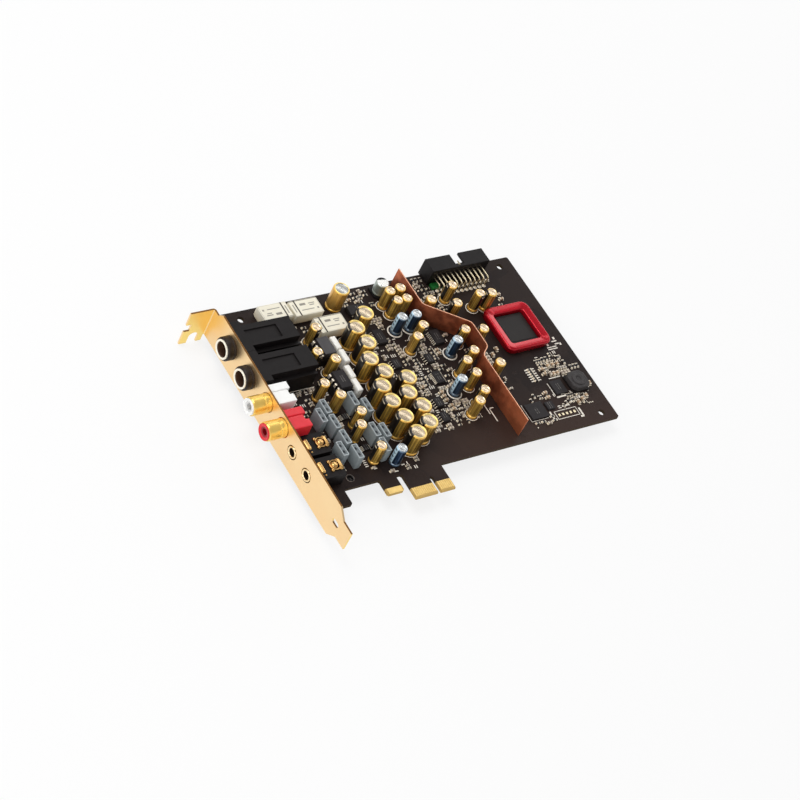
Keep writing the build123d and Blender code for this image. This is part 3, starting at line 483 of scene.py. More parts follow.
# Edge connector fingers and the plating of the support tongue: hard gold over nickel, rubbed along the
# way the card slides into its slot.
def plated(name, pale, deep, rough, lines):
    """Metal plate with a mottled tone, fine rubbing lines along stretched coordinates and soft smears."""
    metal, place = finish(name, {"Metallic": 1.0})
    scratch = place.stretched(*lines).cloud(1.0, 2.0)
    smear = place.cloud(3.0, 2.0)
    lay(metal, {"Base Color": (0.6 * smear + 0.4 * scratch).mix(pale, deep),
                "Roughness": rough + 0.10 * smear + 0.08 * scratch,
                "Normal": scratch.relief(0.004)})
    return metal


finger_gold = plated("finger_gold", ink(242, 212, 142), ink(216, 180, 104), 0.24, (0.05, 1.6, 1.0))
coat("edge_contacts", finger_gold)


# Bracket: one strip of steel, pierced, folded at the top for the chassis screw and narrowed to a tail at
# the foot, then satin finished and plated a pale gold. Its faces that point up or down are coloured darker.
def dressed(name, material, slot, node, edge, steps=2):
    """A CAD node's own skin with its loose triangles merged, and its sharp edges broken by a bevel."""
    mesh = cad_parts[node].data
    points = np.empty(len(mesh.vertices) * 3, np.float32)
    mesh.vertices.foreach_get("co", points)
    corners = np.empty(len(mesh.loops), np.int32)
    mesh.loops.foreach_get("vertex_index", corners)
    spots, same = np.unique(np.round(points.reshape(-1, 3) / MM, 4), axis=0, return_inverse=True)
    triangles = same.ravel()[corners].reshape(-1, 3)
    whole = (triangles[:, 0] != triangles[:, 1]) & (triangles[:, 1] != triangles[:, 2])
    triangles = triangles[whole & (triangles[:, 0] != triangles[:, 2])]
    piece = built(name, Shape(spots, triangles.ravel(), np.full(len(triangles), 3)), material, slot, node)
    bevel = piece.modifiers.new("broken_edges", "BEVEL")
    bevel.width, bevel.segments = edge * MM, steps
    bevel.limit_method, bevel.angle_limit = "ANGLE", math.radians(40)
    bevel.harden_normals = True
    return piece


bracket_gold, place = finish("bracket_gold", {"Metallic": 1.0})
# Faces that point up or down, the strip's long edges, are coloured a darker brown and made rougher.
up_down_faces = slope(place, 2).step(0.80, 0.92)
polish, smear = place.stretched(1.4, 0.05, 1.4).cloud(1.0, 2.0), place.cloud(9.0, 3.0)
face = (0.7 * smear + 0.3 * polish).mix(ink(255, 227, 176), ink(250, 212, 160))
# Painted reflection: faces that point along Y, the folded tab among them, are painted a brighter yellow
# gold.
tab = slope(place, 1).step(0.75, 0.9)
face = tab.mix(face, ink(255, 224, 134))
lay(bracket_gold, {"Base Color": up_down_faces.mix(face, ink(128, 90, 48)),
                   "Roughness": 0.33 + 0.06 * smear + 0.05 * polish + 0.1 * up_down_faces,
                   "Normal": (polish + 6.0 * place.cloud(0.25) * up_down_faces).relief(0.0012)})
dressed("bracket_plate", bracket_gold, "bracket", "bracket", 0.05, 1)


# Eyelet in the board's corner hole beside the bracket's foot: drawn steel, near black all over, its rim
# rolled over and paler in patches.
CORNER_HOLE = (-36.2, 17.3)


def own_place(place):
    """A point's place in its own copy of a shape, and the three parts of that place."""
    spot = place.node("ShaderNodeAttribute", {"attribute_name": "local"}, None, 1)
    return spot, spot.axis(0), spot.axis(1), spot.axis(2)


EYELET = softened([(1.42, -1.55), (1.42, -0.02), (1.95, 0.0), (2.0, 0.1), (1.7, 0.2), (1.3, 0.06),
                   (1.2, -1.0), (0.2, -1.1)], 0.08, 2)
eyelet_dark, place = finish("eyelet_dark_steel", {"Metallic": 0.3})
_, x, y, _ = own_place(place)
worn = (x * x + y * y).root().step(1.5, 1.75) * place.cloud(0.5).step(0.3, 0.6)
lay(eyelet_dark, {"Base Color": worn.mix(ink(22, 17, 16), ink(112, 100, 92)), "Roughness": 0.36 + 0.1 * worn})
built("corner_eyelet", turned(EYELET, 28).placed([*CORNER_HOLE, 0]), eyelet_dark, "nut")


# Quarter inch jacks: black moulded housings behind the bracket, each drawn up by a bushing and a round
# black nut, with tip and ring springs beside the bore.
def moulded(name, pale, deep, rough, gloss=0.3, grain=0.012):
    """Moulded plastic: a faint flow mottling, a fine spark eroded grain and an uneven gloss."""
    plastic, place = finish(name, {"Specular IOR Level": gloss})
    flow, fine = place.cloud(4.0, 3.0), place.cloud(0.12, 2.0)
    lay(plastic, {"Base Color": flow.mix(pale, deep), "Roughness": rough + 0.12 * flow + 0.06 * fine,
                  "Normal": fine.relief(grain)})
    return plastic


FACE = -57.94
JACK_ROWS = ((1, 88.8), (2, 72.5))
JACK_Z = 6.35
black_mould = moulded("black_mould", ink(27, 23, 23), ink(18, 15, 15), 0.38, 0.16)
nut_black, place = finish("nut_black", {"Specular IOR Level": 0.3})
lay(nut_black, {"Base Color": place.cloud(2.5).mix(ink(28, 18, 13), ink(38, 26, 19)),
                "Roughness": 0.40 + 0.08 * place.cloud(1.6), "Normal": place.cloud(0.5).relief(0.002)})
NUT = softened([(4.46, 0), (5.3, 0), (5.3, 0.9), (5.08, 1.05), (5.08, 1.3), (5.26, 1.45), (5.26, 3.4),
                (4.85, 4.1), (4.46, 4.1)], 0.12, 3, True)
bushing_metal, place = finish("bushing_metal", {})
_, x, y, _ = own_place(place)
# Painted shade: the bushing's bore is painted dark brown and not metal, as shade inside it.
shaded_bore = (x * x + y * y).root().step(3.50, 3.42)
turning = place.cloud(0.2, 2.0)
rim = turning.mix(ink(255, 250, 236), ink(246, 236, 214))
lay(bushing_metal, {"Base Color": shaded_bore.mix(rim, ink(74, 48, 32)), "Metallic": 0.1 * (1 - shaded_bore),
                    "Roughness": 0.28 + 0.1 * turning + 0.2 * shaded_bore})
BUSHING = softened([(3.3, -3.86), (4.4, -3.86), (4.4, 4.5), (4.3, 4.6), (3.75, 4.6), (3.45, 4.3),
                    (3.3, 3.6)], 0.08, 2, True)
spring_gold = plated("spring_gold", ink(250, 212, 142), ink(158, 106, 48), 0.12, (1.0, 0.5, 0.5))
for number, row in JACK_ROWS:
    dressed(f"jack_{number}_body", black_mould, "black_plastic", f"jack_{number}_housing", 0.3, 3)
    nut = turned(NUT, 72, "joined").facing_out(FACE, row, JACK_Z)
    built(f"jack_{number}_ring_nut", nut, nut_black, "nut", f"jack_{number}_nut")
    sleeve = turned(BUSHING, 64, "joined").facing_out(FACE, row, JACK_Z)
    built(f"jack_{number}_sleeve", sleeve, bushing_metal, "bright_metal", f"jack_{number}_bushing")
    coat(f"jack_{number}_contacts", spring_gold)


# Phono sockets: a coloured moulding behind the bracket, split by a groove along its lid, whose nose carries
# a plated shell with a rolled lip, and a plated socket for the plug's pin down the middle of the nose.
shell_gold, place = finish("shell_gold", {"Metallic": 0.68})
lay(shell_gold, {"Base Color": place.cloud(5.0, 2.0).mix(ink(255, 220, 122), ink(250, 204, 100)),
                 "Roughness": 0.25 + 0.03 * place.cloud(4.0)})


def held(profile, reach):
    """A closed profile with a point added a reach inside both ends of each run, to shade it straight."""
    gap = np.roll(profile, -1, 0) - profile
    share = np.minimum(reach / np.linalg.norm(gap, axis=1), 0.3)[:, None]
    return np.stack([profile, profile + gap * share, profile + gap * (1 - share)], 1).reshape(-1, 2)


PHONO_Z, MOUTH, SEAT = 8.1, 9.4, -2.86
NOSE = softened([(2.12, SEAT), (3.68, SEAT), (3.68, MOUTH), (3.1, MOUTH), (2.35, MOUTH - 0.5),
                 (1.52, MOUTH - 0.6), (1.52, MOUTH - 3.2), (1.63, MOUTH - 3.2), (1.63, MOUTH - 0.88),
                 (2.12, MOUTH - 0.88)], 0.1, 3, True)
SHELL = softened([(3.72, SEAT), (4.12, SEAT), (4.12, 2.6), (3.9, 2.7), (3.9, 2.95), (4.15, 3.05),
                  (4.15, 8.3), (3.9, 8.9), (3.72, 8.9)], 0.12, 4, True)
FRONT, BACK, HALF = -57.08, -47.5, 5.15
NEAR_HALF = [(FRONT, -HALF), (BACK, -HALF), (BACK, -1.45), (-49.2, -1.45), (-49.2, 0.95), (FRONT, 0.95)]
FAR_HALF = [(FRONT, 1.45), (BACK, 1.45), (BACK, HALF), (FRONT, HALF)]
GROOVE = [(-57.0, 0.9), (-49.25, 0.9), (-49.25, 1.5), (-57.0, 1.5)]
BLOCK_LEVELS = softened([(0.0, 0.0), (0.0, 13.0), (0.9, 13.0)], 0.3, 4)
for colour, row, pale, deep, dim in (("white", 57.15, ink(246, 246, 244), ink(236, 236, 234), 0.8),
                                     ("red", 43.65, ink(228, 46, 58), ink(206, 30, 44), 0.45)):
    plastic, place = finish(f"{colour}_mould", {"Specular IOR Level": 0.4})
    _, x, y, _ = own_place(place)
    # Painted shade: inside the nose's mouth the colour is painted darker by the share dim, as shade in the
    # hole.
    flow, shaded_mouth = place.cloud(3.0), (x * x + y * y).root().step(2.5, 2.2)
    lay(plastic, {"Base Color": shaded_mouth.mix(flow.mix(pale, deep), tuple(dim * c for c in deep)),
                  "Roughness": 0.28 + 0.12 * flow, "Normal": place.cloud(0.15).relief(0.01)})
    halves = [lofted(walled(half, 0.35, BLOCK_LEVELS)) for half in (NEAR_HALF, FAR_HALF)]
    floor = lofted(walled(GROOVE, 0.05, [(0.0, 0.02), (0.0, 12.5)], 1))
    nose = turned(NOSE, 64, "joined").facing_out(FACE, row, PHONO_Z)
    body = together(*(part.placed([0, row, 0]) for part in (*halves, floor)), nose)
    built(f"phono_{colour}_body", body, plastic, f"{colour}_plastic", f"phono_{colour}_housing")
    shell = turned(held(SHELL, 0.04), 96, "joined").facing_out(FACE, row, PHONO_Z)
    built(f"phono_{colour}_collar", shell, shell_gold, "gold", f"phono_{colour}_shell")
    coat(f"phono_{colour}_contact", shell_gold)


# Small stereo jacks: black moulded blocks with a plated barrel flush in the bracket. Pressed gold springs
# bridge the lid: a leaf near the bracket, and behind it a domed button in an eye, held by a strap.
def swept(path, section, up):
    """A closed section carried along a path in one plane; up is the direction square to that plane."""
    path, section, up = (np.asarray(a, float) for a in (path, section, up))
    along = np.gradient(path, axis=0)
    along /= np.linalg.norm(along, axis=1)[:, None]
    side = np.cross(up, along)
    return lofted(path[:, None] + side[:, None] * section[None, :, :1] + up * section[None, :, 1:])


def arched(x, reach, foot, crown, width):
    """A strip bent over the lid from one side to the other: up, level along the crown, and down."""
    level = 0.84 * reach
    path = [(x, reach, foot), (x, level, crown), (x, -level, crown), (x, -reach, foot)]
    return swept(softened(path, 0.5, 4), softened(rectangle(0.32, width), 0.1, 1, True), (1, 0, 0))


MINI_Z = 4.6
MINI_ROWS = ((1, 33.2), (2, 21.1))
BARREL = softened([(1.86, -4.86), (2.85, -4.86), (2.85, -0.1), (2.62, 0.3), (2.15, 0.3), (1.86, -0.1)],
                  0.22, 4, True)
barrel_gold, place = finish("barrel_gold", {})
_, x, y, z = own_place(place)
# Painted shade: the barrel's bore below its mouth is painted dark brown and not metal, as shade inside it.
shaded_bore = (x * x + y * y).root().step(1.96, 1.90) * z.step(0.05, -0.1)
wear = place.cloud(0.8)
rim = wear.mix(ink(255, 234, 190), ink(250, 214, 156))
lay(barrel_gold, {"Base Color": shaded_bore.mix(rim, ink(34, 22, 13)),
                  "Metallic": 1 - shaded_bore, "Roughness": 0.2 + 0.1 * wear + 0.2 * shaded_bore})
EYE = softened([(2.0, 6.9), (2.6, 6.9), (2.6, 7.3), (2.3, 7.6), (2.0, 7.4)], 0.15, 3, True)
BUTTON = softened([(1.7, 6.7), (1.7, 7.1), (1.45, 7.65), (0.95, 7.93), (0.4, 8.0), (0.05, 8.0)], 0.25, 3)
LEAF_LEVELS = softened([(0.1, 7.5), (0.0, 7.65), (0.2, 7.9), (0.6, 8.0), (0.95, 7.95)], 0.12, 2)
LOBE = [(0.8, 6.7), (0.8, 7.2), (0.62, 7.5), (0.3, 7.7), (0.08, 7.74)]
PEG = [(0.42, 7.5), (0.42, 7.75), (0.25, 7.92), (0.06, 7.96)]
LOBES = [(-46.7, 2.1, 0), (-46.7, -2.1, 0), (-42.6, -2.1, 0), (-42.6, 2.1, 0)]
PEGS = [(-54.6, -3.6, 0), (-53.0, -4.0, 0), (-51.4, -4.0, 0)]
bridge = together(lofted(walled(rectangle(2.1, 5.6), 1.05, LEAF_LEVELS, 6)).placed([-51.5, 0, 0]),
                  arched(-42.4, 2.7, 6.4, 7.7, 1.3), turned(EYE, 40, "joined").placed([-44.7, 0, 0]),
                  turned(BUTTON, 32).placed([-44.9, 0, 0]),
                  turned(LOBE, 20).placed(LOBES), turned(PEG, 14).placed(PEGS))
for number, row in MINI_ROWS:
    dressed(f"minijack_{number}_body", black_mould, "black_plastic", f"minijack_{number}_housing", 0.25, 2)
    barrel = turned(held(BARREL, 0.05), 56, "joined").facing_out(FACE, row, MINI_Z)
    built(f"minijack_{number}_collar", barrel, barrel_gold, "gold", f"minijack_{number}_barrel")
    built(f"minijack_{number}_bridges", bridge.placed([0, row, 0]), spring_gold, "gold",
          f"minijack_{number}_contacts")


# Signal relays: sealed ivory covers pushed down over a base, with a moulded seam across the lid near one
# end, and plain printed bars.
def printed_bar(across, along, middle, length, width):
    """Mask of a printed bar about a middle, its edges a little soft."""
    return across.band(middle[0], length) * along.band(middle[1], width)


ivory, place = finish("relay_ivory", {"Specular IOR Level": 0.35})
_, u, v, w = own_place(place)
lid = w.step(5.2, 5.35)
seam = u.band(-4.55, 0.62) * lid
border = v.band(3.9, 0.36).either(0.5 * u.band(6.85, 0.22)).either(0.4 * v.band(-3.95, 0.18)) * lid
printed = printed_bar(u, v, (-1.2, 1.5), 3.0, 1.2)
MORE_BARS = (((3.4, 1.5), 3.2, 0.5), ((3.2, 0.5), 2.4, 0.5), ((0.2, -1.6), 6.4, 0.45),
             ((-6.0, 0.0), 0.5, 4.4), ((5.4, -1.6), 0.9, 0.9))
for bar in MORE_BARS:
    printed = printed.either(printed_bar(u, v, *bar))
cover_tone = place.cloud(3.0).mix(ink(241, 236, 219), ink(235, 228, 208))
# Painted shade: the cover is painted a warmer, darker ivory toward its foot than on its lid.
cover_tone = w.step(0.5, 5.0).mix(ink(240, 228, 202), cover_tone)
marks = printed * lid * (0.55 + 0.5 * place.cloud(0.4))
cover_tone = seam.either(border * 0.8).mix(cover_tone, ink(44, 38, 31))
lay(ivory, {"Base Color": marks.mix(cover_tone, ink(104, 99, 92)),
            "Roughness": 0.38 + 0.1 * place.cloud(0.6),
            "Normal": (1 - seam + 0.04 * place.cloud(0.15)).relief(0.25)})
COVER_LEVELS = softened([(0.35, 0.0), (0.35, 0.7), (0.0, 0.75), (0.0, 5.5), (0.8, 5.5)], 0.16, 4)
cover = lofted(walled(rectangle(14.5, 8.6), 0.4, COVER_LEVELS, 4))
for number, turn in ((1, np.pi), (2, 0.0), (3, 0.0)):
    built(f"relay_{number}_cover", cover.placed(feet(f"relay_{number}"), turn), ivory, "ivory_plastic",
          f"relay_{number}")


# Electrolytic capacitors: drawn aluminium cans in a printed shrunk sleeve that is rolled over the rim of
# the domed lid and gathered into the crimp above the rubber foot. A stripe marks the negative lead.
def can_profile(radius, high, dome):
    """Foot, crimp groove, straight sleeve, rolled rim, and a lid that falls as the square of the radius."""
    edge = radius - 1.0
    reach = np.linspace(0.96, 0.04, 7)
    return np.concatenate([softened([
        (radius - 0.55, 0.0), (radius - 0.15, 0.0), (radius, 0.35), (radius, 1.0), (radius - 0.32, 1.35),
        (radius - 0.32, 1.6), (radius, 1.95), (radius, high - 0.5), (radius - 0.26, high - 0.05),
        (radius - 0.66, high), (radius - 0.9, high - 0.16), (edge, high - 0.06 - dome)], 0.2, 3),
        np.stack([edge * reach, high - 0.06 - dome * reach ** 2], -1)])


def sleeved(name, radius, high, light, dark, rims, stripe_tone, dash_tone, wide, zone, lids, share=0.79):
    """Sleeve and lid of a can: colours by the height, radius and angle of each point in its own can. The
    stripe is as wide as an angle to each side, its dashes fill a zone below the rim, and the lid is bare
    out to a share of the radius."""
    metal, place = finish(name, {"Coat Roughness": 0.1})
    spot, x, y, z = own_place(place)
    out = (x * x + y * y).root()
    angle = abs(y.math("ARCTAN2", y, x))
    # Painted sheen: sheen paints bands of highlight and shade on the sleeve by the angle round the can.
    sheen = (angle - 0.4).wave(0.75).step(0.15, 0.85)
    top = out.step(radius * (share + 0.01), radius * (share - 0.01)) * z.step(high - 0.6, high - 0.5)
    roll = z.step(high - 0.66, high - 0.54) * (1 - top)
    foot = z.step(1.5, 1.3)
    stripe = angle.step(wide + 0.03, wide - 0.03) * (1 - top) * (1 - foot)
    rung = (high - z).wave(1.1).band(0.86, 0.3, 0.06) * z.step(high - zone, high - zone + 0.1)
    dashes = stripe * rung * angle.step(wide * 0.62, wide * 0.54) * (1 - roll)
    streak = spot.stretched(0.5, 0.5, 30.0).cloud(1.0, 2.0).step(0.38, 0.60)
    mottle, grime = place.cloud(1.6), place.cloud(0.45)
    print_rows = grime.step(0.54, 0.58) * z.wave(0.75).step(0.5, 0.62) * angle.band(1.75, 0.9, 0.05)
    print_rows = print_rows * z.step(2.6, 2.9) * z.step(high - 2.4, high - 2.8)
    wrap = (0.5 * streak + 0.35 * (1 - sheen) + 0.15 * mottle).mix(light, dark)
    wrap = (print_rows * 0.55).mix(wrap, tuple(0.35 * c for c in dark))
    wrap = roll.either(foot).mix(wrap, out.step(radius, radius - 0.7).mix(*rims))
    wrap = dashes.mix(stripe.mix(wrap, stripe_tone), dash_tone)
    # The vent's score lines are pressed in by the bump and also painted darker, as shade in them.
    vent = abs(x).least(abs(y)).step(0.09, 0.04) * top * out.step(radius - 1.4, radius - 1.6)
    spun = out.wave(0.11)
    plate = (0.4 * spun + 0.6 * mottle).mix(*lids)
    lay(metal, {
        "Base Color": top.mix(wrap, (vent * 0.5).mix(plate, tuple(0.3 * c for c in lids[1]))),
        "Metallic": (0.72 + 0.2 * top) * (1 - stripe * 0.92),
        "Roughness": 0.30 + 0.06 * mottle - 0.10 * top,
        "Coat Weight": 0.3 * (1 - top) * (1 - stripe),
        "Normal": ((1 - 0.18 * vent) + 0.04 * grime * (1 - top)).relief(0.1),
    })
    return metal


GOLD, GOLD_DARK, RIMS = ink(248, 206, 100), ink(96, 54, 11), (ink(244, 188, 84), ink(255, 228, 140))
STRIPE, DASH, LIDS = ink(18, 13, 11), ink(226, 212, 184), (ink(228, 212, 188), ink(186, 166, 136))
LARGE, SMALL, BLUE, PLAIN = (4.0, 12.3), (2.5, 11.0), (2.5, 10.5), (3.8, 12.3)  # radius and height
CAMERA_LEFT = math.radians(165)
large_sleeve = sleeved("gold_sleeve_large", *LARGE, GOLD, GOLD_DARK, RIMS, STRIPE, DASH, 0.68, 1.5, LIDS,
                       share=0.735)
large_can = turned(can_profile(*LARGE, 0.3), 56)
built("large_cans", large_can.placed(large_feet, CAMERA_LEFT), large_sleeve, "gold_can", "large_capacitors")
small_sleeve = sleeved("gold_sleeve_small", *SMALL, ink(255, 214, 108), ink(126, 74, 18), RIMS, STRIPE,
                       DASH, 0.6, 1.5, (ink(244, 222, 194), ink(212, 186, 154)))
small_can = turned(can_profile(*SMALL, 0.12), 44)
small_turns = np.random.default_rng(5).choice([2.5, 2.9, 4.9, 0.2, 0.9], len(small_feet))
built("small_cans", small_can.placed(small_feet, small_turns), small_sleeve, "gold_can", "small_capacitors")
blue_sleeve = sleeved("blue_sleeve", *BLUE, ink(54, 84, 120), ink(14, 26, 46),
                      (ink(84, 108, 132), ink(196, 204, 208)), ink(186, 216, 234), ink(18, 34, 56), 0.52,
                      9.0, (ink(214, 216, 214), ink(182, 186, 188)))
blue_can = turned(can_profile(*BLUE, 0.12), 44)
built("blue_cans", blue_can.placed(blue_feet, CAMERA_LEFT), blue_sleeve, "blue_can", "blue_capacitors")
plain_sleeve = sleeved("gold_sleeve_plain", *PLAIN, ink(232, 186, 100), ink(204, 152, 70), RIMS, GOLD,
                       GOLD, 0.02, 0.5, (ink(212, 212, 208), ink(176, 177, 174)))
plain_can = turned(can_profile(*PLAIN, 0.24), 56)
built("plain_can", plain_can.placed(feet("plain_capacitor")), plain_sleeve, "gold_can", "plain_capacitor")


# Surface capacitor: a bare aluminium can, drawn and crimped above a square moulded base, the negative side
# of its lid inked dark.
bare_metal, place = finish("bare_can", {"Metallic": 0.8})
_, x, _, z = own_place(place)
lid = z.step(6.3, 6.4)
inked = x.step(-1.3, -1.4) * lid
brush = place.stretched(0.6, 0.6, 0.04).cloud(1.0)
side_tone = brush.mix(ink(196, 204, 196), ink(150, 160, 153))
lid_tone = brush.mix(ink(244, 244, 240), ink(214, 214, 210))
lay(bare_metal, {"Base Color": inked.mix(lid.mix(side_tone, lid_tone), ink(36, 36, 38)),
                 "Roughness": 0.32 + 0.12 * brush - 0.12 * lid,
                 "Normal": (brush * (1 - lid)).relief(0.01)})
GREY_CAN = softened([(2.4, 0.0), (2.95, 0.0), (2.95, 0.8), (2.75, 1.0), (2.95, 1.25), (3.15, 1.5),
                     (3.15, 6.1), (2.7, 6.6), (2.2, 6.6)], 0.25, 3)
grey_can = turned(GREY_CAN, 56).placed(feet("grey_capacitor"), math.radians(-100))
built("grey_can", grey_can, bare_metal, "grey_can", "grey_capacitor")
dressed("grey_can_base", black_mould, "black_plastic", "grey_capacitor_base", 0.15)


# Box film capacitors: a blue grey moulded case, its rim standing round the potting poured in at the top,
# which has sunk into hollows over the two leads as it set.
FILM_LEVELS = softened([(0.1, 0.0), (0.0, 0.3), (0.0, 7.6), (0.46, 7.6), (0.5, 7.25), (0.8, 7.22),
                        (1.05, 7.2), (1.36, 7.2)], 0.12, 3)
case, place = finish("film_case", {"Specular IOR Level": 0.35})
_, x, y, z = own_place(place)
pot = abs(x).step(0.94, 0.88) * abs(y).step(3.24, 3.18) * z.step(6.0, 6.2)
# Painted shade: the hollows over the leads are painted dark.
shaded_hollow = z.step(7.2, 7.02) * pot
# Painted highlight: the top of the rim is painted lighter than the rest of the case.
lip = z.step(7.2, 7.5) * (1 - pot)
flow = place.cloud(2.4)
case_tone = lip.mix(flow.mix(ink(148, 157, 160), ink(126, 134, 138)), ink(166, 174, 177))
lay(case, {"Base Color": shaded_hollow.mix(pot.mix(case_tone, ink(112, 119, 122)), ink(34, 40, 46)),
           "Roughness": 0.36 + 0.14 * flow, "Normal": place.cloud(0.14).relief(0.012)})
RIM_WIDE, LEAD_OUT, HOLLOW_DEEP = 0.55, 1.55, 0.4


def potted_box(width, length, levels):
    """Rings of a rectangle scaled in by a depth and raised; inside the rim each point sinks as two bells of
    its distance from the leads on the long axis."""
    half = np.array([width, length]) / 2
    run = np.array([-1.0, -0.8, -0.6, -0.45, -0.3, -0.15, 0.15, 0.3, 0.45, 0.6, 0.8, 1.0]) * half[1]
    loop = np.concatenate([np.c_[0 * run + half[0], run], np.c_[0 * run - half[0], run[::-1]]])
    outline = softened(loop, 0.3, 2, True)
    rings = np.stack([np.c_[outline * (half - depth) / half, np.full(len(outline), height)]
                      for depth, height in levels])
    across, along = rings[..., 0] / 0.5, (np.abs(rings[..., 1]) - LEAD_OUT) / 0.6
    inside = np.asarray(levels)[:, :1] > RIM_WIDE
    rings[..., 2] -= np.where(inside, HOLLOW_DEEP * np.exp(-across ** 2 - along ** 2), 0.0)
    return lofted(rings)


film_box = potted_box(2.8, 7.4, FILM_LEVELS)
built("film_boxes", film_box.placed(feet("film_capacitors")), case, "film_case", "film_capacitors")


# White moulded capacitors: plain thermoplastic blocks with pillow tops, set in a row and soldered by leads
# under them.
white_mould = moulded("white_block", ink(255, 254, 248), ink(250, 248, 240), 0.30, 0.4)
bulge = np.linspace(0, np.pi / 2, 7)
WHITE_LEVELS = [(0.1, 0.0), (0.0, 0.4), *zip(0.75 * (1 - np.cos(bulge)), 5.2 + 0.8 * np.sin(bulge))]
white_box = lofted(walled(rectangle(2.9, 6.9), 0.5, WHITE_LEVELS, 4))
built("white_blocks", white_box.placed(feet("white_capacitors")), white_mould, "white_plastic",
      "white_capacitors")


# Amplifiers: eight pin packages pressed into sockets, their halves drafted up and down from the leads, with
# plain grey bars printed on top.
chip_black, place = finish("chip_black", {"Specular IOR Level": 0.16})
_, x, y, _ = own_place(place)
fine, flow = place.cloud(0.1), place.cloud(2.0)
facing_up = place.node("ShaderNodeNewGeometry", None, None, 1).axis(2).step(0.9, 0.96)
rows = x.wave(0.55).step(0.62, 0.74) * abs(x).step(1.35, 1.3) * abs(y).step(1.75, 1.7)
printed = rows * facing_up * place.stretched(9.0, 0.3, 9.0).cloud(1.0, 1.0).step(0.44, 0.5)
body_tone = flow.mix(ink(50, 47, 48), ink(38, 36, 37))
lay(chip_black, {"Base Color": (printed * 0.6).mix(body_tone, ink(132, 128, 124)),
                 "Roughness": 0.5 + 0.15 * fine, "Normal": fine.relief(0.012)})
solder, place = finish("bright_solder", {"Metallic": 0.55})
pool = place.cloud(0.6)
lay(solder, {"Base Color": pool.mix(ink(246, 237, 219), ink(221, 209, 189)),
             "Roughness": 0.28 + 0.12 * pool, "Normal": pool.relief(0.02)})
tinned = plated("tinned_lead", ink(234, 232, 226), ink(202, 200, 194), 0.26, (0.3, 0.3, 0.3))


def drafted(length, width, low, high, edge, draft):
    """A moulded package: widest at its parting line, narrowing up and down, its top edges softened."""
    middle = (low + high) / 2
    levels = softened([(draft, low), (0.0, middle - 0.1), (0.0, middle + 0.1), (draft, high),
                       (draft + 2 * edge, high)], edge, 3)
    return lofted(walled(rectangle(length, width), 0.25, levels, 2))


DIP_PATH = softened([(3.0, 0, 5.9), (3.85, 0, 5.9), (3.95, 0, 4.25)], 0.35, 3)
dip_lead = swept(DIP_PATH, rectangle(0.28, 1.2), (0, 1, 0))
LEADS_A_SIDE, LEAD_PITCH = 4, 2.54
steps = (np.arange(LEADS_A_SIDE) - (LEADS_A_SIDE - 1) / 2) * LEAD_PITCH
package = drafted(6.3, 9.6, 4.25, 7.4, 0.12, 0.22)
polished, place = finish("chip_polished", {"Specular IOR Level": 0.5})
sheen = place.cloud(3.0)
lay(polished, {"Base Color": sheen.mix(ink(52, 48, 51), ink(40, 37, 39)), "Roughness": 0.24 + 0.1 * sheen,
               "Normal": place.cloud(0.12).relief(0.004)})
for number, skin in ((1, polished), (2, chip_black)):
    home = feet(f"amplifier_{number}") * (1, 1, 0)
    built(f"amplifier_{number}_package", package.placed(home), skin, "chip", f"amplifier_{number}")
    legs = np.c_[0 * steps, steps, 0 * steps] + home
    both = together(dip_lead.placed(legs), dip_lead.placed(legs, np.pi))
    built(f"amplifier_{number}_legs", both, solder, "tinned_lead", f"amplifier_{number}_leads")
    dressed(f"amplifier_{number}_seat", black_mould, "black_plastic", f"amplifier_{number}_socket", 0.2)


# Leaded chips: moulded packages with bent, tinned leads soldered flat to the board, and thin leadless ones
# that lie on it.
chip_low, chip_high = copies("leaded_chips")
chip_mid, chip_size = (chip_low + chip_high) / 2, chip_high - chip_low
packages = [drafted(*size[:2], low, high, 0.08, 0.12).placed([*mid[:2], 0])
            for size, mid, low, high in zip(chip_size, chip_mid, chip_low[:, 2], chip_high[:, 2])]
built("leaded_packages", together(*packages), chip_black, "chip", "leaded_chips")
lead_low, lead_high = copies("chip_leads")
lead_mid, lead_size = (lead_low + lead_high) / 2, lead_high - lead_low
owner = np.abs(lead_mid[:, None, :2] - chip_mid[None, :, :2]).sum(-1).argmin(1)
away = lead_mid[:, :2] - chip_mid[owner, :2]
lead_turn = np.where(lead_size[:, 0] > lead_size[:, 1], np.where(away[:, 0] > 0, 0, np.pi),
                     np.where(away[:, 1] > 0, np.pi / 2, -np.pi / 2))
wings = []
for level in np.unique(np.round(lead_high[:, 2], 2)):
    same = np.abs(lead_high[:, 2] - level) < 0.02
    wing = [(-0.5, 0, level - 0.16), (-0.22, 0, level - 0.16), (0.02, 0, 0.09), (0.5, 0, 0.09)]
    wing = swept(softened(wing, 0.14, 2), rectangle(0.16, 0.4), (0, 1, 0))
    wings.append(wing.placed(np.c_[lead_mid[same, :2], np.zeros(same.sum())], lead_turn[same]))
built("gull_leads", together(*wings), solder, "tinned_lead", "chip_leads")
flat_low, flat_high = copies("flat_chips")
flats = [drafted(*(high - low)[:2], 0.02, high[2], 0.06, 0.02).placed([*((low + high) / 2)[:2], 0])
         for low, high in zip(flat_low, flat_high)]
built("flat_packages", together(*flats), chip_black, "chip", "flat_chips")


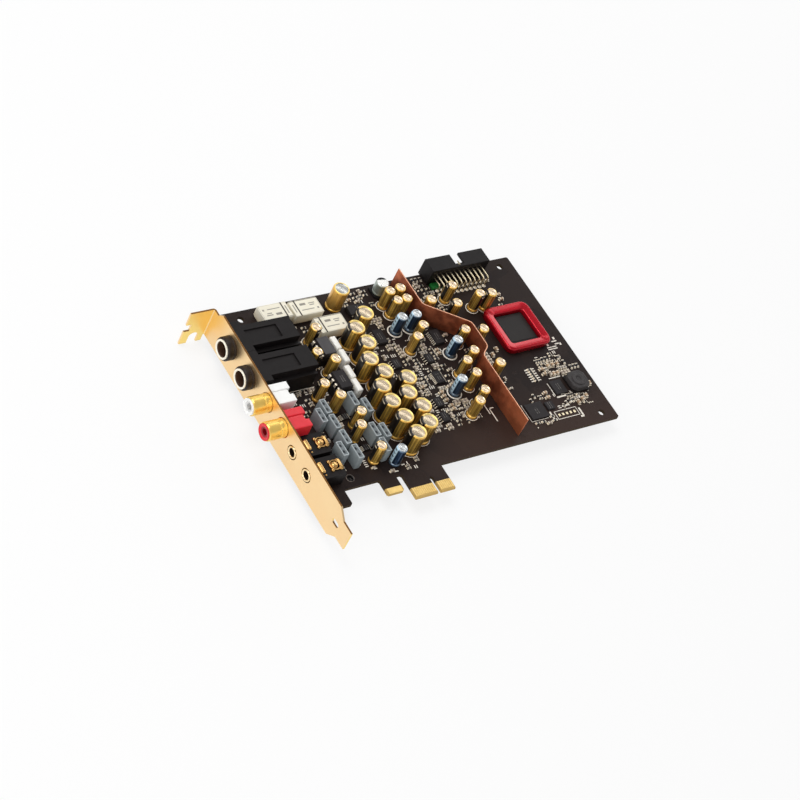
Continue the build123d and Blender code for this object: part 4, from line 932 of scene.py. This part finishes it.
# Processor and its frame: a square moulded package with a stepped lid, under a cast frame in red lacquer
# whose faces slope down from a narrow rim to the window.
window, place = finish("window_black", {"Specular IOR Level": 0.25})
weave = place.cloud(0.16)
lay(window, {"Base Color": place.cloud(3.0).mix(ink(32, 28, 26), ink(23, 19, 18)),
             "Roughness": 0.42 + 0.12 * weave, "Normal": weave.relief(0.006)})
CORE = (87.6, 70.2, 0)
CORE_LEVELS = softened([(0.05, 0.02), (0.0, 0.6), (0.0, 1.32), (0.9, 1.32), (1.0, 1.5), (1.6, 1.5)], 0.1, 3)
core = lofted(walled(rectangle(16, 16), 0.8, CORE_LEVELS, 5))
built("core_package", core.placed(CORE), window, "chip", "core_chip")
lacquer, place = finish("red_lacquer", {"Metallic": 0.55, "Specular IOR Level": 0.2, "Coat Weight": 0.35,
                                        "Coat Roughness": 0.06})
lay(lacquer, {"Base Color": place.cloud(5.0).mix(ink(184, 8, 32), ink(170, 6, 26)),
              "Roughness": 0.22 + 0.04 * place.cloud(3.0)})
FRAME = softened([(12.4, 0.0), (12.75, 2.9), (12.05, 3.8), (8.9, 3.05), (8.6, 2.7), (8.4, 0.0)],
                 0.5, 4, True)
REACHES, BENDS = (8.3, 12.4), (1.5, 4.2)
rings = []
for reach, height in FRAME:
    ring = softened(rectangle(2 * reach, 2 * reach), np.interp(reach, REACHES, BENDS), 8, True)
    rings.append(np.c_[ring, np.full(len(ring), height)])
built("red_frame", lofted(rings, "joined").placed(CORE), lacquer, "red_paint", "core_cover")


# Shield strip: bare copper sheet folded to the gap between the two halves of the card and stood on edge
# there, rubbed and a little tarnished.
copper, place = finish("bare_copper", {})
rub = place.stretched(2.5, 2.5, 0.12).cloud(1.0)
tarnish = place.cloud(6.0, 4.0)
# Painted reflection: the strip is painted a brighter orange toward its lower end.
painted_reflection_end = place.axis(1).step(44.0, 16.0)
sheet_tone = tarnish.step(0.35, 0.65).mix(rub.mix(ink(210, 126, 90), ink(188, 102, 70)), ink(140, 74, 50))
sheet_tone = (painted_reflection_end * 0.5).mix(sheet_tone, ink(232, 136, 90))
# Painted highlight: the strip's edges that face up or down are painted pale pink.
painted_edge_highlight = slope(place, 2).step(0.4, 0.8)
lay(copper, {"Base Color": painted_edge_highlight.mix(sheet_tone, ink(232, 176, 144)), "Metallic": 0.72 + 0.1 * rub,
             "Roughness": 0.40 + 0.10 * rub + 0.08 * tarnish, "Normal": rub.relief(0.006)})
ROUTE = softened([(40.5, 108.4, 0), (40.5, 87.2, 0), (58.6, 72.2, 0), (58.6, 58.2, 0), (53.6, 54.4, 0),
                  (53.6, 16.6, 0)], 1.6, 6)
SECTION = softened([(-0.25, 0.0), (0.25, 0.0), (0.25, 11.0), (-0.25, 11.0)], 0.12, 2, True)
built("copper_strip", swept(ROUTE, SECTION, (0, 0, 1)), copper, "copper", "shield_strip")


# Front panel header: a black box moulded round two rows of square plated pins that turn down into the
# board, each soldered in a round pad.
dressed("header_box", black_mould, "black_plastic", "header_shroud", 0.22)
pin_gold = plated("pin_gold", ink(246, 234, 204), ink(222, 206, 168), 0.24, (0.3, 0.3, 0.3))
HEADER_COLUMNS, HALF_PIN = LIKE_SOLIDS["header_pins"] // 2, 0.32
pin_low, pin_high = copies("header_pins")
FILLET = [(1.0, 0.0), (1.0, 0.06), (0.75, 0.2), (0.5, 0.6), (0.42, 0.62)]
pins, pads = [], []
for level in range(2):
    rank = slice(level * HEADER_COLUMNS, (level + 1) * HEADER_COLUMNS)
    columns = (pin_low + pin_high)[rank, 0] / 2
    back, up = pin_low[rank.start, 1] + HALF_PIN, pin_high[rank.start, 2] - HALF_PIN
    bent = softened([(0, back, 0.0), (0, back, up), (0, pin_high[rank.start, 1], up)], 0.8, 4)
    square = softened(rectangle(0.56, 0.5), 0.08, 1, True)
    pins.append(swept(bent, square, (1, 0, 0)).placed(np.c_[columns, 0 * columns, 0 * columns]))
    pads.append(turned(FILLET, 14).placed(np.c_[columns, 0 * columns + back, 0 * columns]))
built("bent_pins", together(*pins), pin_gold, "gold", "header_pins")
built("header_pads", together(*pads), solder, "tinned_lead")


# Choke and fuse: fired ferrite with a wound core showing in its lid, glued on a moulded foot, and a green
# moulded fuse soldered beside it.
fired = moulded("fired_ferrite", ink(66, 62, 62), ink(50, 48, 48), 0.5, 0.25, 0.03)
choke_x, choke_y, _ = feet("choke_core")[0]
OCTAGON = [(4.8, -2.8), (4.8, 2.8), (2.8, 4.8), (-2.8, 4.8),
           (-4.8, 2.8), (-4.8, -2.8), (-2.8, -4.8), (2.8, -4.8)]
CHOKE_LEVELS = softened([(0.2, 0.8), (0.0, 1.1), (0.0, 3.3), (0.6, 3.45), (0.8, 3.4), (1.1, 3.4)], 0.2, 3)
WINDING = softened([(1.3, 3.3), (3.3, 3.3), (3.3, 3.7), (3.1, 3.8), (1.7, 3.8), (1.3, 3.5)], 0.2, 3, True)
choke_body = together(lofted(walled(OCTAGON, 0.5, CHOKE_LEVELS, 2)), turned(WINDING, 40, "joined"))
built("choke_block", choke_body.placed([choke_x, choke_y, 0]), fired, "ferrite", "choke_core")
dressed("choke_foot", black_mould, "black_plastic", "choke_base", 0.1)
green = moulded("green_mould", ink(24, 116, 46), ink(14, 90, 34), 0.35, 0.4)
FUSE_LEVELS = softened([(0.0, 0.0), (0.0, 1.2), (0.5, 1.2)], 0.15, 2)
fuse = lofted(walled(rectangle(4.5, 3.2), 0.2, FUSE_LEVELS, 2))
built("fuse_body", fuse.placed(feet("fuse")), green, "green_plastic", "fuse")


# Chip resistors and ceramic capacitors: glazed or fired bricks with tinned ends, each on two tinned pads,
# closely set in fields between the larger parts, with plated vias and short printed ticks around them.
def tipped(name, pale, deep, glaze, tip_from):
    """A small chip part: its glazed middle between two tinned ends, by the place along its own length."""
    skin, place = finish(name, {})
    _, along, _, _ = own_place(place)
    lot = place.node("ShaderNodeAttribute", {"attribute_name": "lot"}, None, 2)
    tip = abs(along).step(tip_from - 0.02, tip_from + 0.02)
    mottle = place.cloud(0.4)
    batch = (lot * 0.37).wave(1.0)
    lay(skin, {"Base Color": tip.mix((0.4 * mottle + 0.6 * batch).mix(pale, deep), ink(232, 221, 202)),
               "Metallic": tip * 0.75, "Roughness": glaze + 0.1 * mottle})
    return skin


def brick(length, width, high):
    """A chip part: a rectangle raised straight, with its top edges softened."""
    return lofted(walled(rectangle(length, width), 0.08, [(0, 0), (0, high - 0.06), (0.06, high)], 1))


PAD_HIGH = 0.04


def end_pads(spots, turns, reach, length, width):
    """Tinned pads under both ends of chip parts, each a reach along the part from its middle."""
    out = reach * np.c_[np.cos(turns), np.sin(turns), 0 * turns]
    return [brick(length, width, PAD_HIGH).placed(spots + way * out, turns) for way in (-1, 1)]


CHIP_LONG = 2.0
chip_pads = []
for name, node, width, high, pale, deep, slot in (
        ("resistor_chips", "chip_resistors", 0.9, 0.5, ink(40, 38, 40), ink(26, 25, 27), "resistor"),
        ("ceramic_chips", "chip_ceramics", 1.2, 1.1, ink(198, 168, 134), ink(150, 122, 96), "ceramic")):
    low, top = copies(node)
    turns = np.where((top - low)[:, 1] > (top - low)[:, 0], np.pi / 2, 0)
    skin = tipped(f"{slot}_glaze", pale, deep, 0.4, 0.62)
    built(name, brick(CHIP_LONG, width, high).placed(feet(node), turns), skin, slot, node)
    chip_pads += end_pads(feet(node), turns, CHIP_LONG / 2, 0.8, width + 0.25)


def footprints(node):
    """Low and high corners, on the board, of each solid of a CAD node."""
    low, high = copies(node)
    return np.c_[low[:, :2], high[:, :2]]


STANDING = ("large_capacitors", "small_capacitors", "blue_capacitors", "film_capacitors",
            "white_capacitors", "leaded_chips", "chip_leads", "flat_chips", "header_shroud", "header_pins",
            "chip_resistors", "chip_ceramics", "plain_capacitor", "fuse", "grey_capacitor_base",
            "amplifier_1_socket", "amplifier_2_socket", "core_cover", "choke_base", "relay_1", "relay_2",
            "relay_3", "jack_1_housing", "jack_2_housing", "minijack_1_housing", "minijack_2_housing",
            "phono_white_housing", "phono_red_housing")
run = np.concatenate([[0], np.cumsum(np.linalg.norm(np.diff(ROUTE, axis=0), axis=1))])
beside = np.linspace(0, run[-1], 90)
strip_line = np.stack([np.interp(beside, run, ROUTE[:, 0]), np.interp(beside, run, ROUTE[:, 1])], -1)
HOLES = np.array([(-40.8, 106.1), CORNER_HOLE, (102.6, 106.1), (102.6, 17.3)])
STRIP_ROOM, HOLE_ROOM, CONNECTOR_ROOM = 0.7, 3.0, (78.6, 19.0, 91.4, 23.8)
taken = np.concatenate([*map(footprints, STANDING), np.c_[strip_line - STRIP_ROOM, strip_line + STRIP_ROOM],
                        np.c_[HOLES - HOLE_ROOM, HOLES + HOLE_ROOM], [CONNECTOR_ROOM]])
FIELDS = [  # low and high X, low and high Y, tries
    (13, 42, 28, 62, 150), (20, 40, 58, 80, 40), (85, 101, 41.6, 54, 46), (76, 102, 23.6, 33, 30),
    (9, 38, 95, 109, 34), (44, 60, 88, 109, 46), (-42, -8, 18, 70, 120), (-40, -8, 66, 96, 24),
    (55, 66, 40, 66, 12), (42, 52, 66, 80, 16), (10, 24, 70, 94, 24), (88, 99, 84, 100, 6),
    (-16, 4, 14, 20, 5), (60, 74, 16, 21, 5),
]
KINDS = np.array([(1.6, 0.8), (2.0, 1.2), (1.6, 0.8), (0.5, 0.5), (1.6, 0.45)])  # length and width
ODDS = [0.24, 0.22, 0.26, 0.10, 0.18]
VIA, TICK = 3, 4
GRID, GAP, CLEAR, KEPT_CLEAR = 0.35, 0.55, 0.3, 0.2
draw = np.random.default_rng(29)
kept = []
for x_low, x_high, y_low, y_high, tries in FIELDS:
    spots = np.round(draw.uniform((x_low, y_low), (x_high, y_high), (tries, 2)) / GRID) * GRID
    kinds = draw.choice(len(KINDS), tries, p=ODDS)
    uprights, lengths = draw.random(tries) < 0.5, draw.integers(1, 6, tries)
    for start, kind, upright, length in zip(spots, kinds, uprights, lengths):
        half_size = KINDS[kind][::-1] / 2 if upright else KINDS[kind] / 2
        pitch = np.array([1, 0] if upright else [0, 1]) * (KINDS[kind][1] + GAP)
        for spot in start + np.arange(length)[:, None] * pitch:
            left, low, right, high = np.r_[spot - half_size - CLEAR, spot + half_size + CLEAR]
            free = ((left >= taken[:, 2]) | (right <= taken[:, 0]) | (low >= taken[:, 3])
                    | (high <= taken[:, 1]))
            if free.all() and x_low <= spot[0] <= x_high and y_low <= spot[1] <= y_high:
                room = np.r_[spot - half_size - KEPT_CLEAR, spot + half_size + KEPT_CLEAR]
                taken = np.concatenate([taken, [room]])
                kept.append((*spot, 0.0, kind, upright * np.pi / 2))
kept = np.array(kept)
KIND_LOOKS = [
    ("fine_resistors", 0.45, "resistor", ink(46, 43, 45), ink(30, 29, 31)),
    ("fine_ceramics", 1.0, "ceramic", ink(198, 182, 166), ink(106, 92, 82)),
    ("fine_beads", 0.7, "ceramic", ink(208, 199, 188), ink(72, 64, 58)),
]
for kind, (name, high, slot, pale, deep) in enumerate(KIND_LOOKS):
    mine = kept[kept[:, 3] == kind]
    (length, width), turns = KINDS[kind], mine[:, 4]
    skin = tipped(f"{name}_skin", pale, deep, 0.42, 0.3 * length)
    built(name, brick(length, width, high).placed(mine[:, :3], turns), skin, slot)
    chip_pads += end_pads(mine[:, :3], turns, 0.5 * length, 0.45 * length, width + 0.14)
via = turned([(0.34, 0.0), (0.34, 0.03), (0.2, 0.05), (0.1, 0.03)], 10)
vias = via.placed(kept[kept[:, 3] == VIA, :3])
built("chip_pads", together(*chip_pads, vias), solder, "tinned_lead")
PAD_PITCH = 2.2
pad_spots = [(CONNECTOR[0] + PAD_PITCH * step, CONNECTOR[1], 0) for step in range(-2, 3)]
built("connector_pads", brick(1.1, 1.4, PAD_HIGH).placed(pad_spots), pin_gold, "gold")
ticks = kept[kept[:, 3] == TICK]
built("legend_ticks", bar_mark(*KINDS[TICK]).placed(ticks[:, :3], ticks[:, 4]), legend, "white_plastic")


# Solder joints on the back: hollow sided cones of solder, drawn up by its surface to the clipped lead in
# each as it froze.
CONE_HIGH = 0.8
CONE = [(0.22, -CONE_HIGH), (0.3, -0.4), (0.5, -0.12), (0.8, 0.0)]
joints = turned(CONE, 10).placed(feet("solder_joints") + (0, 0, CONE_HIGH))
built("solder_cones", joints, tinned, "tinned_lead", "solder_joints")

low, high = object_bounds()
